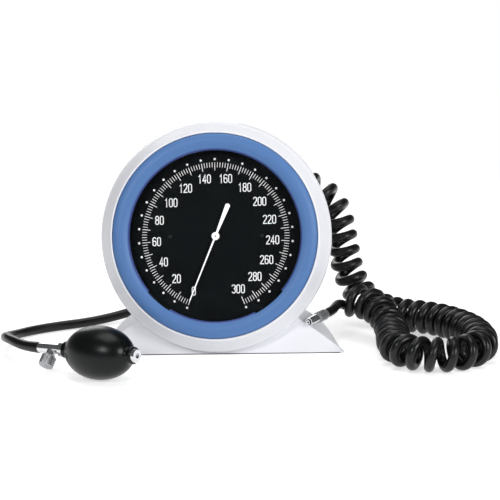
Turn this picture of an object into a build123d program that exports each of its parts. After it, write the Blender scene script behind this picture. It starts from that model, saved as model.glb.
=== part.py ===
from build123d import *
from math import asin, cos, degrees, pi, radians, sin, sqrt, tan
import os

# Desk gauge for blood pressure: a round case on a moulded foot, a hand bulb with a release
# valve on a plain hose, and a curly hose that ends in a luer connector.
# Millimetres. The front faces -Y, +Z is up, the origin is the middle of the underside.

os.makedirs("parts", exist_ok=True)

# Overall sizes
LEAN = 15  # how far the dial leans back, degrees
CASE_R = 100  # outer edge of the case's rim
DRUM_R = 82  # case behind the stand's front
DRUM_DEPTH = 38
WINDOW_R = 73.5  # free opening of the blue ring
RIM_LIFT = 1.5  # rim's lowest point above the foot of the stand's front
FOOT_DEPTH = 104
FOOT_HALF = 109.5  # half the width of the stand's front at the floor
PAD_T = 1.2
HOSE_D = 8.5
COIL_OD = 30
BULB_LENGTH = 75
BULB_D = 45.6

# Fits
FIT = 0.05  # running clearance of a pin in its hole, on the radius
SLIP = 0.3  # clearance of loose parts
WALL = 3.0

# Dial frame: x across, v up the dial, w out of it towards the reader; w = 0 is the stand's front
front_y = -FOOT_DEPTH / 2
rear_y = FOOT_DEPTH / 2
lean_sin, lean_cos = sin(radians(LEAN)), cos(radians(LEAN))
across_x = Vector(1, 0, 0)
dial_up = Vector(0, lean_sin, lean_cos)
dial_out = Vector(0, -lean_cos, lean_sin)
stand_foot = Vector(0, front_y, PAD_T)
dial_centre = stand_foot + dial_up * (RIM_LIFT + CASE_R)
dial_axis = Axis(dial_centre, dial_out)
dial_section = Plane(origin=dial_centre, x_dir=across_x, z_dir=-dial_up)


def in_dial(x, v, w):
    """The point that lies x across, v up and w out of the dial's centre."""
    return dial_centre + across_x * x + dial_up * v + dial_out * w


def dial_plane(w, x=0, v=0, turn=0):
    """The plane square to the dial's axis at height w, about a point, turned anticlockwise."""
    way = across_x * cos(radians(turn)) + dial_up * sin(radians(turn))
    return Plane(origin=in_dial(x, v, w), x_dir=way, z_dir=dial_out)


def save(builder, name):
    """Label a finished piece and write its file."""
    builder.part.label = name
    export_step(builder.part, f"parts/{name}.step")


def turned(start, way, points):
    """A piece turned about the line from a point along a direction; points are radius and distance."""
    across = way.cross(Vector(0, 0, 1)).normalized()
    with BuildPart() as piece:
        with BuildSketch(Plane(origin=start, x_dir=across, z_dir=across.cross(way))):
            with BuildLine():
                Polyline(*points, close=True)
            make_face()
        revolve(axis=Axis(start, way))
    return piece.part


# Stand: a front panel with an arched outline, and a slightly lower hood behind it
drum_foot = RIM_LIFT + CASE_R - DRUM_R  # height of the case's lowest point behind the panel
HOOD_DEPTH = 38
HOOD_INSET = 1.2
HOOD_HALF = 102.5  # half the width of the hood's rear at the floor
HOOD_MID = (84.2, 23.3)
ARCH_MID = (83, 19.8)
ARCH_TOP = (58, 16.5)  # x, and height above the case's lowest point
CREST = (40, 23.5)
PANEL_T = 3.0
EDGE_R = 1.0
STAND_SCREWS = ((-60, 8.5), (60, 8.5), (-25, -8.5), (25, -8.5))  # x, and height above the case's lowest point
STAND_SCREW_R = 1.5
SCREW_HEAD_R = 3.0
SCREW_HEAD_T = 2.2
BASE_SCREWS = ((-84.5, 16), (84.5, 16), (-62, 30), (62, 30))  # x, and height of the boss
BASE_T = 3.0
BASE_SCREW_R = 1.4
BOSS_R = 4.2
below_floor = 20
drum_hole_r = DRUM_R + SLIP
hood_rear_y = front_y + HOOD_DEPTH
boss_y = front_y + HOOD_DEPTH * 0.6
stand_screw_at = [(x, height - DRUM_R) for x, height in STAND_SCREWS]  # x, v
panel_plane = Plane(origin=stand_foot, x_dir=across_x, z_dir=dial_out)
panel_back = panel_plane.offset(-PANEL_T)
rear_face = Plane(origin=(0, hood_rear_y, PAD_T), x_dir=(1, 0, 0), z_dir=(0, -1, 0))


def arch(half, mid, inset):
    """Outline of the stand above the floor line, half its width there, drawn in by the inset."""
    (mid_x, mid_z), top_x, crest_x = mid, ARCH_TOP[0], CREST[0]
    top_z, crest_z = drum_foot + ARCH_TOP[1], drum_foot + CREST[1]
    with BuildSketch() as outline:
        with BuildLine():
            ThreePointArc((half, 0), (mid_x, mid_z), (top_x, top_z))
            Polyline((top_x, top_z), (crest_x, crest_z), (-crest_x, crest_z), (-top_x, top_z))
            ThreePointArc((-top_x, top_z), (-mid_x, mid_z), (-half, 0))
            Polyline((-half, 0), (-half, -below_floor), (half, -below_floor), (half, 0))
        make_face()
        if inset:
            offset(amount=-inset, kind=Kind.INTERSECTION)
        with Locations((0, -below_floor)):
            Rectangle(3 * half, 2 * below_floor, mode=Mode.SUBTRACT)
    return outline.sketch


with BuildPart() as hood:
    with BuildSketch(rear_face):
        add(arch(HOOD_HALF, HOOD_MID, HOOD_INSET))
    with BuildSketch(rear_face.offset(HOOD_DEPTH)):
        add(arch(FOOT_HALF, ARCH_MID, HOOD_INSET))
    loft()
    with BuildSketch(rear_face.offset(WALL)):
        add(arch(HOOD_HALF, HOOD_MID, HOOD_INSET + WALL))
    with BuildSketch(rear_face.offset(HOOD_DEPTH)):
        add(arch(FOOT_HALF, ARCH_MID, HOOD_INSET + WALL))
    loft(mode=Mode.SUBTRACT)
    for boss_x, boss_top in BASE_SCREWS:
        with BuildSketch(Plane.XY.offset(PAD_T + BASE_T)):
            with Locations((boss_x, boss_y)):
                Circle(BOSS_R)
        extrude(amount=boss_top - BASE_T)
    split(bisect_by=panel_back, keep=Keep.BOTTOM)

with BuildPart() as stand_shell:
    with BuildSketch(rear_face):
        add(arch(FOOT_HALF, ARCH_MID, 0))
    extrude(amount=HOOD_DEPTH)
    split(bisect_by=panel_plane, keep=Keep.BOTTOM)
    split(bisect_by=panel_back, keep=Keep.TOP)
    front_edges = edges().group_by(Axis(stand_foot, dial_out))[-1]
    fillet(front_edges.filter_by(lambda e: e.center().Z > PAD_T + 1), radius=EDGE_R)
    add(hood.part)
    with BuildSketch(dial_plane(5)):
        Circle(drum_hole_r)
    extrude(amount=-FOOT_DEPTH, mode=Mode.SUBTRACT)
    with BuildSketch(dial_plane(0)):
        with Locations(*stand_screw_at):
            Circle(STAND_SCREW_R + 0.1)
    extrude(amount=-PANEL_T - 1, mode=Mode.SUBTRACT)
    with BuildSketch(Plane.XY.offset(PAD_T)):
        with Locations((0, (front_y + rear_y) / 2 + WALL + 4)):
            Rectangle(2 * (FOOT_HALF - 4 * WALL), FOOT_DEPTH)
    extrude(amount=BASE_T + SLIP, mode=Mode.SUBTRACT)
    for boss_x, boss_top in BASE_SCREWS:
        with BuildSketch(Plane.XY.offset(PAD_T)):
            with Locations((boss_x, boss_y)):
                Circle(BASE_SCREW_R - 0.2)
        extrude(amount=boss_top - 2 * WALL + BASE_T, mode=Mode.SUBTRACT)
save(stand_shell, "stand_shell")

# Base: a plate under the hood that runs back under the case, with two ribs that cradle the drum
TONGUE_HALF = 62
BASE_FRONT_HALF = FOOT_HALF - 4 * WALL - 2 * SLIP
RIB_X, RIB_T, RIB_H, RIB_END = 34, 3, 26, 4
base_front_y = front_y + WALL + 4 + SLIP
with BuildPart() as stand_base:
    with BuildSketch(Plane.XY.offset(PAD_T)):
        with BuildLine():
            FilletPolyline(
                (-BASE_FRONT_HALF, base_front_y),
                (BASE_FRONT_HALF, base_front_y),
                (BASE_FRONT_HALF, hood_rear_y),
                (TONGUE_HALF, rear_y),
                (-TONGUE_HALF, rear_y),
                (-BASE_FRONT_HALF, hood_rear_y),
                radius=4,
                close=True,
            )
        make_face()
    extrude(amount=BASE_T)
    for rib_x in (-RIB_X, RIB_X):
        rib_side = Plane(origin=(rib_x - RIB_T / 2, 0, PAD_T + BASE_T), x_dir=(0, 1, 0), z_dir=(1, 0, 0))
        with BuildSketch(rib_side):
            with BuildLine():
                Polyline(
                    (hood_rear_y + SLIP, 0),
                    (hood_rear_y + SLIP, RIB_H),
                    (rear_y - 12, RIB_END),
                    (rear_y - 5, 0),
                    close=True,
                )
            make_face()
        extrude(amount=RIB_T)
    with BuildSketch(dial_plane(5)):
        Circle(drum_hole_r)
    extrude(amount=-DRUM_DEPTH - 12, mode=Mode.SUBTRACT)
    for boss_x, boss_top in BASE_SCREWS:
        with Locations(Plane.XY.offset(PAD_T) * Pos(boss_x, boss_y, 0) * Rot(180, 0, 0)):
            CounterSinkHole(radius=BASE_SCREW_R + 0.1, counter_sink_radius=SCREW_HEAD_R, depth=BASE_T + 1)
save(stand_base, "stand_base")

with BuildPart() as base_screws:
    for boss_x, boss_top in BASE_SCREWS:
        with BuildSketch(Plane(origin=(boss_x, boss_y, PAD_T), x_dir=(1, 0, 0), z_dir=(0, -1, 0))):
            with BuildLine():
                Polyline(
                    (0, 0.1), (SCREW_HEAD_R - 0.2, 0.1), (BASE_SCREW_R - 0.2, 1.6),
                    (BASE_SCREW_R - 0.2, 9), (0, 9), close=True,
                )
            make_face()
        revolve(axis=Axis((boss_x, boss_y, 0), (0, 0, 1)))
save(base_screws, "base_screws")

# Underlay: one sheet of rubber that the whole foot stands on
with BuildPart() as base_pad:
    with BuildSketch():
        with BuildLine():
            FilletPolyline(
                (-FOOT_HALF + 2, front_y + 1.5),
                (FOOT_HALF - 2, front_y + 1.5),
                (HOOD_HALF - 2, hood_rear_y - 1),
                (TONGUE_HALF - 1, rear_y - 1),
                (1 - TONGUE_HALF, rear_y - 1),
                (2 - HOOD_HALF, hood_rear_y - 1),
                radius=3,
                close=True,
            )
        make_face()
    extrude(amount=PAD_T)
save(base_pad, "base_pad")

# Case: a drum with a flared rim; the rim is hollow behind and rests on the stand's front
RIM_T = 7  # straight edge of the rim
FACE_W = 24  # top of the case
BEZEL_R = 88.3
BEZEL_SEAT_W = 17.6
DIAL_R = 80.2
DIAL_SEAT_W = 11
LEDGE_R = 77
LEDGE_T = 3
FLANGE_WALL = 2.8
COVER_T = 3.0
COVER_SCREW_R = 1.4
COVER_BOSS_L = 14
FLANGE_BOSS_R = 4.4
FLANGE_SCREW_L = 8
rim_corner = 3.0
drum_in_r = DRUM_R - FLANGE_WALL
flange_in_r = CASE_R - FLANGE_WALL
cover_screw_at = drum_in_r - BOSS_R + 1
with BuildPart() as case_shell:
    with BuildSketch(dial_section):
        with BuildLine():
            Line((DRUM_R, -DRUM_DEPTH), (DRUM_R, 0))
            Line((DRUM_R, 0), (CASE_R - 1, 0))
            ThreePointArc((CASE_R - 1, 0), (CASE_R - 0.3, 0.3), (CASE_R, 1))
            Line((CASE_R, 1), (CASE_R, RIM_T))
            ThreePointArc((CASE_R, RIM_T), (CASE_R - 1.0, RIM_T + 3.0), (CASE_R - 2.8, RIM_T + 5.2))
            ThreePointArc((CASE_R - 2.8, RIM_T + 5.2), (94.2, 17.2), (BEZEL_R + 2, FACE_W - 0.6))
            ThreePointArc((BEZEL_R + 2, FACE_W - 0.6), (BEZEL_R + 1.2, FACE_W), (BEZEL_R + 0.3, FACE_W - 0.4))
            Polyline(
                (BEZEL_R + 0.3, FACE_W - 0.4),
                (BEZEL_R + 0.3, BEZEL_SEAT_W),
                (DIAL_R + 0.3, BEZEL_SEAT_W),
                (DIAL_R + 0.3, DIAL_SEAT_W),
                (LEDGE_R, DIAL_SEAT_W),
                (LEDGE_R, DIAL_SEAT_W - LEDGE_T),
                (drum_in_r, DIAL_SEAT_W - LEDGE_T - 2),
                (drum_in_r, -DRUM_DEPTH),
                (DRUM_R, -DRUM_DEPTH),
            )
        make_face()
        with BuildLine():
            Polyline(
                (DRUM_R + 2.4, 0),
                (flange_in_r, 0),
                (flange_in_r, RIM_T + 2),
                (91, 14.6),
                (DRUM_R + 2.4, 14.6),
                close=True,
            )
        make_face(mode=Mode.SUBTRACT)
    revolve(axis=dial_axis)
    for screw_x, screw_v in stand_screw_at:
        with BuildSketch(dial_plane(0, screw_x, screw_v)):
            Circle(FLANGE_BOSS_R)
        extrude(amount=11)
    with BuildSketch(dial_plane(-DRUM_DEPTH)):
        with PolarLocations(cover_screw_at, 4, start_angle=45):
            Circle(BOSS_R)
    extrude(amount=COVER_BOSS_L)
    for screw_x, screw_v in stand_screw_at:
        with BuildSketch(dial_plane(0, screw_x, screw_v)):
            Circle(STAND_SCREW_R - 0.2)
        extrude(amount=FLANGE_SCREW_L + 1, mode=Mode.SUBTRACT)
    with BuildSketch(dial_plane(-DRUM_DEPTH)):
        with PolarLocations(cover_screw_at, 4, start_angle=45):
            Circle(COVER_SCREW_R - 0.2)
    extrude(amount=COVER_BOSS_L - 2, mode=Mode.SUBTRACT)
save(case_shell, "case_shell")

# Rear cover: a plain disc, screwed to the drum, that carries both outlets and the movement
COVER_HEAD_R = 2.8
OUTLET_R = 4.0
COIL_OUTLET = (36, 60)  # x, v
BULB_OUTLET = (-50, -38)
CAPSULE_AT = (-6, -32.6)
CAPSULE_BOSS_R = 4.0
POST_AT = ((-30, 12), (30, 12), (-30, -46), (30, -46))
POST_R = 3.5
POST_SCREW_R = 1.5
cover_in_w = -DRUM_DEPTH
cover_out_w = -DRUM_DEPTH - COVER_T
with BuildPart() as rear_cover:
    with BuildSketch(dial_plane(cover_out_w)):
        Circle(DRUM_R)
        with Locations(COIL_OUTLET, BULB_OUTLET):
            Circle(OUTLET_R + 0.1, mode=Mode.SUBTRACT)
        with Locations(CAPSULE_AT):
            Circle(CAPSULE_BOSS_R + 0.1, mode=Mode.SUBTRACT)
        with Locations(*POST_AT):
            Circle(POST_SCREW_R + 0.1, mode=Mode.SUBTRACT)
        with PolarLocations(cover_screw_at, 4, start_angle=45):
            Circle(COVER_SCREW_R + 0.1, mode=Mode.SUBTRACT)
    extrude(amount=COVER_T)
    chamfer(faces().sort_by(Axis(dial_centre, dial_out))[0].outer_wire().edges(), 0.8)
save(rear_cover, "rear_cover")

with BuildPart() as cover_screws:
    with BuildSketch(dial_plane(cover_out_w)):
        with PolarLocations(cover_screw_at, 4, start_angle=45):
            Circle(COVER_HEAD_R)
        with PolarLocations(cover_screw_at, 4, start_angle=45):
            Rectangle(2 * COVER_HEAD_R - 2, 0.7, mode=Mode.SUBTRACT)
    extrude(amount=-1.6)
    with BuildSketch(dial_plane(cover_out_w - 0.8)):
        with PolarLocations(cover_screw_at, 4, start_angle=45):
            Circle(COVER_SCREW_R - 0.2)
    extrude(amount=COVER_T + COVER_BOSS_L - 3)
save(cover_screws, "cover_screws")

with BuildPart() as stand_screws:
    with BuildSketch(dial_plane(-PANEL_T)):
        with Locations(*stand_screw_at):
            Circle(SCREW_HEAD_R)
    extrude(amount=-SCREW_HEAD_T)
    with BuildSketch(dial_plane(-PANEL_T)):
        with Locations(*stand_screw_at):
            Circle(STAND_SCREW_R - 0.2)
    extrude(amount=PANEL_T + FLANGE_SCREW_L)
save(stand_screws, "stand_screws")

# Face of the gauge: dial, spacer, gasket, clear lens and the blue ring that holds them
DIAL_T = 1.0
DIAL_HOLE_R = 3.5
DIAL_SCREW_X = 39.8
DIAL_SCREW_R = 1.0
DIAL_HEAD_R = 1.5
SPACER_T = 3.4
GASKET_T = 1.6
LENS_T = 2.2
BEZEL_CROWN_W = 26.4
BEZEL_LIP_W = 21.0
BAYONET_R = 75.4
BAYONET_SPANS = ((219, 238), (297, 320))  # start and end angle of each recess in the ring's inner edge
dial_top_w = DIAL_SEAT_W + DIAL_T
spacer_top_w = dial_top_w + SPACER_T
gasket_top_w = spacer_top_w + GASKET_T
lens_top_w = gasket_top_w + LENS_T
with BuildPart() as dial_plate:
    with BuildSketch(dial_plane(DIAL_SEAT_W)):
        Circle(DIAL_R)
        Circle(DIAL_HOLE_R, mode=Mode.SUBTRACT)
        with Locations((-DIAL_SCREW_X, 0), (DIAL_SCREW_X, 0)):
            Circle(DIAL_SCREW_R + 0.1, mode=Mode.SUBTRACT)
    extrude(amount=DIAL_T)
save(dial_plate, "dial_plate")

with BuildPart() as dial_spacer:
    with BuildSketch(dial_plane(dial_top_w)):
        Circle(DIAL_R)
        Circle(WINDOW_R + 1.0, mode=Mode.SUBTRACT)
    extrude(amount=SPACER_T)
save(dial_spacer, "dial_spacer")

with BuildPart() as lens_gasket:
    with BuildSketch(dial_plane(spacer_top_w)):
        Circle(DIAL_R)
        Circle(WINDOW_R + 2.5, mode=Mode.SUBTRACT)
    extrude(amount=GASKET_T)
save(lens_gasket, "lens_gasket")

with BuildPart() as lens:
    with BuildSketch(dial_plane(gasket_top_w)):
        Circle(DIAL_R - 0.2)
    extrude(amount=LENS_T)
save(lens, "lens")

with BuildPart() as bezel_ring:
    with BuildSketch(dial_section):
        with BuildLine():
            Polyline(
                (WINDOW_R + 0.4, lens_top_w),
                (DIAL_R + 0.6, lens_top_w),
                (DIAL_R + 0.6, BEZEL_SEAT_W),
                (BEZEL_R, BEZEL_SEAT_W),
                (BEZEL_R, FACE_W - 1.2),
            )
            ThreePointArc((BEZEL_R, FACE_W - 1.2), (87.4, FACE_W + 0.4), (85.8, FACE_W + 1.4))
            ThreePointArc((85.8, FACE_W + 1.4), (81.5, BEZEL_CROWN_W), (76.5, FACE_W + 1.1))
            ThreePointArc((76.5, FACE_W + 1.1), (74.3, FACE_W - 0.4), (WINDOW_R, BEZEL_LIP_W))
            Line((WINDOW_R, BEZEL_LIP_W), (WINDOW_R + 0.4, lens_top_w))
        make_face()
    revolve(axis=dial_axis)
    for start, end in BAYONET_SPANS:
        with BuildSketch(dial_plane(lens_top_w)):
            with BuildLine():
                outer = CenterArc((0, 0), BAYONET_R, start, end - start)
                Polyline(outer @ 1, (0, 0), outer @ 0)
            make_face()
        extrude(amount=BEZEL_CROWN_W - lens_top_w, mode=Mode.SUBTRACT)
save(bezel_ring, "bezel_ring")

with BuildPart() as dial_screws:
    with BuildSketch(dial_plane(dial_top_w)):
        with Locations((-DIAL_SCREW_X, 0), (DIAL_SCREW_X, 0)):
            Circle(DIAL_HEAD_R)
            Rectangle(2 * DIAL_HEAD_R - 0.6, 0.4, rotation=40, mode=Mode.SUBTRACT)
    extrude(amount=0.7)
    with BuildSketch(dial_plane(dial_top_w + 0.3)):
        with Locations((-DIAL_SCREW_X, 0), (DIAL_SCREW_X, 0)):
            Circle(DIAL_SCREW_R)
    extrude(amount=-4)
save(dial_screws, "dial_screws")

# Movement frame: two brass plates on pillars, posts to the cover, posts to the dial
FRONT_PLATE_W = 4
BACK_PLATE_W = -12
PLATE_T = 2
PLATE_W, PLATE_H, PLATE_V = 68, 68, -16
EAR_H = 14
PILLAR_AT = ((-27, 12), (27, 12), (-27, -44), (27, -44))
PILLAR_R = 2.5
SECTOR_SWING = 30
POINTER_SWEEP = 315
gear_ratio = POINTER_SWEEP / SECTOR_SWING
MODULE = 0.4
PINION_TEETH = 12
sector_teeth = PINION_TEETH * gear_ratio  # as of a full wheel
pinion_pitch_r = MODULE * PINION_TEETH / 2
sector_pitch_r = MODULE * sector_teeth / 2
pivot_v = -(pinion_pitch_r + sector_pitch_r)
ARBOR_R = 1.0
ARBOR_TIP_R = 0.8
SECTOR_SHAFT_R = 1.5
TAIL_R = 8.0  # pivot to the pin that the rocker's finger pushes
back_plate_top_w = BACK_PLATE_W + PLATE_T
front_plate_top_w = FRONT_PLATE_W + PLATE_T
with BuildPart() as front_plate:
    with BuildSketch(dial_plane(FRONT_PLATE_W)):
        with Locations((0, PLATE_V)):
            RectangleRounded(PLATE_W, PLATE_H, 6)
        RectangleRounded(2 * DIAL_SCREW_X + EAR_H, EAR_H, 5)
        Circle(ARBOR_R + FIT, mode=Mode.SUBTRACT)
        with Locations((0, pivot_v)):
            Circle(SECTOR_SHAFT_R + FIT, mode=Mode.SUBTRACT)
        with Locations((-14, -43), (14, -43), (-15, 12), (15, 12)):
            Circle(3, mode=Mode.SUBTRACT)
    extrude(amount=PLATE_T)
save(front_plate, "front_plate")

with BuildPart() as back_plate:
    with BuildSketch(dial_plane(BACK_PLATE_W)):
        with Locations((0, PLATE_V)):
            RectangleRounded(PLATE_W, PLATE_H, 6)
        Circle(ARBOR_TIP_R + FIT, mode=Mode.SUBTRACT)
        with Locations((0, pivot_v)):
            Circle(SECTOR_SHAFT_R + FIT, mode=Mode.SUBTRACT)
        with Locations((TAIL_R, pivot_v)):
            Rectangle(7, 11, mode=Mode.SUBTRACT)
    extrude(amount=PLATE_T)
save(back_plate, "back_plate")

with BuildPart() as movement_pillars:
    with BuildSketch(dial_plane(back_plate_top_w)):
        with Locations(*PILLAR_AT):
            Circle(PILLAR_R)
    extrude(amount=FRONT_PLATE_W - back_plate_top_w)
save(movement_pillars, "movement_pillars")

with BuildPart() as cover_posts:
    with BuildSketch(dial_plane(cover_in_w)):
        with Locations(*POST_AT):
            Circle(POST_R)
    extrude(amount=BACK_PLATE_W - cover_in_w)
    with BuildSketch(dial_plane(cover_in_w)):
        with Locations(*POST_AT):
            Circle(POST_SCREW_R)
    extrude(amount=-COVER_T)
    with BuildSketch(dial_plane(cover_out_w)):
        with Locations(*POST_AT):
            Circle(SCREW_HEAD_R)
    extrude(amount=-1.4)
save(cover_posts, "cover_posts")

with BuildPart() as dial_posts:
    with BuildSketch(dial_plane(front_plate_top_w)):
        with Locations((-DIAL_SCREW_X, 0), (DIAL_SCREW_X, 0)):
            Circle(3)
    extrude(amount=DIAL_SEAT_W - front_plate_top_w)
    with BuildSketch(dial_plane(DIAL_SEAT_W)):
        with Locations((-DIAL_SCREW_X, 0), (DIAL_SCREW_X, 0)):
            Circle(DIAL_SCREW_R)
    extrude(amount=-4, mode=Mode.SUBTRACT)
save(dial_posts, "dial_posts")

# Sector and pinion: the sector swings between the plates and drives the pointer's arbor
SECTOR_W, SECTOR_T = -3, 2
TOOTH_CLEAR = 0.15
TOOTH_SPAN = 7  # teeth each side of the sector's middle
SECTOR_HUB_R = 4.5
PIN_R = 1.0
PIN_L = 12.5
PINION_W, PINION_L = -4.5, 5
COLLET_W, COLLET_L, COLLET_R = -9, 2, 2.4
sector_pitch_angle = 360 / sector_teeth
sector_edge = (TOOTH_SPAN + 0.5) * sector_pitch_angle + 1
sector_root_r = sector_pitch_r - MODULE
tooth_out = MODULE - TOOTH_CLEAR
tooth_w = MODULE * pi / 2 * 0.72
sector_rest = dial_plane(SECTOR_W, 0, pivot_v, -SECTOR_SWING / 2)
with BuildPart() as sector_gear:
    with BuildSketch(sector_rest):
        with BuildLine():
            rim = CenterArc((0, 0), sector_root_r, 90 - sector_edge, 2 * sector_edge)
            Polyline(rim @ 1, (-2.6, 0), (2.6, 0), rim @ 0)
        make_face()
        with BuildLine():
            window = CenterArc((0, 0), sector_root_r - 3.5, 90 - sector_edge + 10, 2 * sector_edge - 20)
            Polyline(window @ 1, (0, SECTOR_HUB_R + 2.5), window @ 0)
        make_face(mode=Mode.SUBTRACT)
        Circle(SECTOR_HUB_R)
        with Locations((TAIL_R / 2 + 1, 0)):
            SlotOverall(TAIL_R + 6, 4)
        tooth_reach = MODULE + tooth_out
        with PolarLocations(
            sector_root_r + tooth_reach / 2 - 0.1, 2 * TOOTH_SPAN + 1,
            start_angle=90 - TOOTH_SPAN * sector_pitch_angle,
            angular_range=2 * TOOTH_SPAN * sector_pitch_angle, endpoint=True,
        ):
            Trapezoid(tooth_w + 0.16, tooth_reach + 0.2, 78, rotation=-90)
        Circle(SECTOR_SHAFT_R, mode=Mode.SUBTRACT)
    extrude(amount=SECTOR_T)
    with BuildSketch(sector_rest):
        with Locations((TAIL_R, 0)):
            Circle(PIN_R)
    extrude(amount=-PIN_L)
save(sector_gear, "sector_gear")

with BuildPart() as sector_shaft:
    with BuildSketch(dial_plane(BACK_PLATE_W, 0, pivot_v)):
        Circle(SECTOR_SHAFT_R)
    extrude(amount=front_plate_top_w - BACK_PLATE_W + 0.5)
save(sector_shaft, "sector_shaft")

pinion_root_r = pinion_pitch_r - MODULE - 0.1
mesh_turn = (SECTOR_SWING / 2 % sector_pitch_angle) * gear_ratio
pinion_tooth_at = -90 + mesh_turn + 180 / PINION_TEETH
with BuildPart() as pinion_arbor:
    with BuildSketch(dial_plane(PINION_W)):
        Circle(pinion_root_r)
        with PolarLocations(pinion_root_r + 0.35, PINION_TEETH, start_angle=pinion_tooth_at):
            Trapezoid(tooth_w + 0.2, 0.9, 74, rotation=-90)
    extrude(amount=PINION_L)
    with BuildSketch(dial_plane(back_plate_top_w + 0.2)):
        Circle(ARBOR_R)
    extrude(amount=DIAL_SEAT_W + 2.5 - back_plate_top_w)
    with BuildSketch(dial_plane(COLLET_W)):
        Circle(COLLET_R)
    extrude(amount=COLLET_L)
    with BuildSketch(dial_plane(BACK_PLATE_W - 0.3)):
        Circle(ARBOR_TIP_R)
    extrude(amount=dial_top_w + 4 - BACK_PLATE_W)
save(pinion_arbor, "pinion_arbor")

# Pointer: flat, slim towards the scale and wider behind, pressed on the arbor's tip
POINTER_HUB_R = 3.3
POINTER_L = 60
POINTER_TAIL_L = 30
POINTER_T = 0.6
pointer_w = dial_top_w + 2.2
with BuildPart() as pointer:
    with BuildSketch(dial_plane(pointer_w, 0, 0, 90 + POINTER_SWEEP / 2)):
        with BuildLine():
            Polyline((0, -0.7), (POINTER_L, -0.4), (POINTER_L + 0.6, 0), (POINTER_L, 0.4), (0, 0.7), close=True)
        make_face()
        with BuildLine():
            Polyline((0, 0.7), (2.05 - POINTER_TAIL_L, 2.05))
            ThreePointArc((2.05 - POINTER_TAIL_L, 2.05), (-POINTER_TAIL_L, 0), (2.05 - POINTER_TAIL_L, -2.05))
            Polyline((2.05 - POINTER_TAIL_L, -2.05), (0, -0.7), (0, 0.7))
        make_face()
        Circle(POINTER_HUB_R)
        Circle(ARBOR_TIP_R, mode=Mode.SUBTRACT)
    extrude(amount=POINTER_T)
    with BuildSketch(dial_plane(pointer_w)):
        Circle(2.0)
        Circle(ARBOR_TIP_R, mode=Mode.SUBTRACT)
    extrude(amount=POINTER_T + 0.8)
save(pointer, "pointer")

# Hairspring: a flat spiral of half turns round the collet, held by a stud on the back plate
SPRING_TURNS = 5
SPRING_T = 0.25
SPRING_H = 1.0
SPRING_STEP = 1.4  # growth of the radius in a turn
spring_w = COLLET_W + 0.5
spring_in_r = COLLET_R + 0.15 + SPRING_T / 2
spring_half = SPRING_STEP / 4
spring_end = spring_in_r + SPRING_TURNS * SPRING_STEP
with BuildPart() as hairspring:
    with BuildSketch(dial_plane(spring_w)):
        with BuildLine():
            for half in range(2 * SPRING_TURNS):
                reach = spring_in_r + half * 2 * spring_half
                side = 1 if half % 2 == 0 else -1
                CenterArc((-side * spring_half, 0), reach + spring_half, 90 - side * 90, 180)
        trace(line_width=SPRING_T)
    extrude(amount=SPRING_H)
save(hairspring, "hairspring")

with BuildPart() as spring_stud:
    with BuildSketch(dial_plane(back_plate_top_w, spring_end + SPRING_T / 2 + 0.6)):
        Circle(0.6)
    extrude(amount=spring_w + SPRING_H + 0.5 - back_plate_top_w)
save(spring_stud, "spring_stud")

# Rocker: a shaft across the movement, lifted by the capsule, that pushes the sector's pin
ROCKER_W = -24
ROCKER_R = 1.5
FINGER_R = 9.0  # reach at which the finger meets the pin
LEVER_R = 5.0
ARM_T = 1.2
ARM_X = 3.0
BRACKET_T = 1.2
BRACKET_EARS = (-13, 15)
EAR_T = 1.5
rocker_half = degrees(asin(TAIL_R * sin(radians(SECTOR_SWING / 2)) / FINGER_R))
bracket_x = sum(BRACKET_EARS) / 2
bracket_w = BACK_PLATE_W - BRACKET_T
with BuildPart() as rocker_bracket:
    with BuildSketch(dial_plane(bracket_w)):
        with Locations((bracket_x, pivot_v)):
            RectangleRounded(BRACKET_EARS[1] - BRACKET_EARS[0] + EAR_T, 16, 2)
        with Locations((TAIL_R, pivot_v)):
            Rectangle(8, 12, mode=Mode.SUBTRACT)
    extrude(amount=BRACKET_T)
    for ear_x in BRACKET_EARS:
        with BuildSketch(Plane(origin=in_dial(ear_x - EAR_T / 2, pivot_v, 0), x_dir=dial_up, z_dir=across_x)):
            with BuildLine():
                Polyline((-6, bracket_w), (-3, ROCKER_W), (-3, ROCKER_W - 2.8), (3, ROCKER_W - 2.8), (3, ROCKER_W))
                Polyline((3, ROCKER_W), (6, bracket_w), (-6, bracket_w))
            make_face()
            with Locations((0, ROCKER_W)):
                Circle(ROCKER_R + FIT, mode=Mode.SUBTRACT)
        extrude(amount=EAR_T)
save(rocker_bracket, "rocker_bracket")


def rocker_plane(x):
    """The plane square to the rocker's shaft at x, turned with the rocker to its rest."""
    way = dial_up * cos(radians(rocker_half)) + dial_out * sin(radians(rocker_half))
    return Plane(origin=in_dial(x, pivot_v, ROCKER_W), x_dir=way, z_dir=across_x)


with BuildPart() as rocking_shaft:
    with BuildSketch(rocker_plane(BRACKET_EARS[0] - 1.5)):
        Circle(ROCKER_R)
    extrude(amount=BRACKET_EARS[1] - BRACKET_EARS[0] + 3)
    with BuildSketch(rocker_plane(TAIL_R - ARM_X / 2)):
        Circle(ROCKER_R + 1)
        with Locations((-PIN_R - SLIP - ARM_T / 2, (FINGER_R + 0.6) / 2)):
            Rectangle(ARM_T, FINGER_R + 0.6)
    extrude(amount=ARM_X)
    with BuildSketch(rocker_plane(CAPSULE_AT[0] - ARM_X / 2)):
        Circle(ROCKER_R + 1)
        with Locations((-LEVER_R / 2 - 1, 0)):
            Rectangle(LEVER_R + 2, ARM_T)
    extrude(amount=ARM_X)
save(rocking_shaft, "rocking_shaft")

# Capsule: two ripple-pressed shells joined at the rim, on a boss in the cover; a stud on top
CAPSULE_R = 23
CAPSULE_MID_W = -33
CAPSULE_HALF = 4.0
CAPSULE_WALL = 0.6
RIPPLE = 0.7
STUD_R = 1.2
lever_under_w = ROCKER_W - LEVER_R * tan(radians(rocker_half)) - ARM_T / 2 / cos(radians(rocker_half))
stud_top_w = lever_under_w - 0.35


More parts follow.
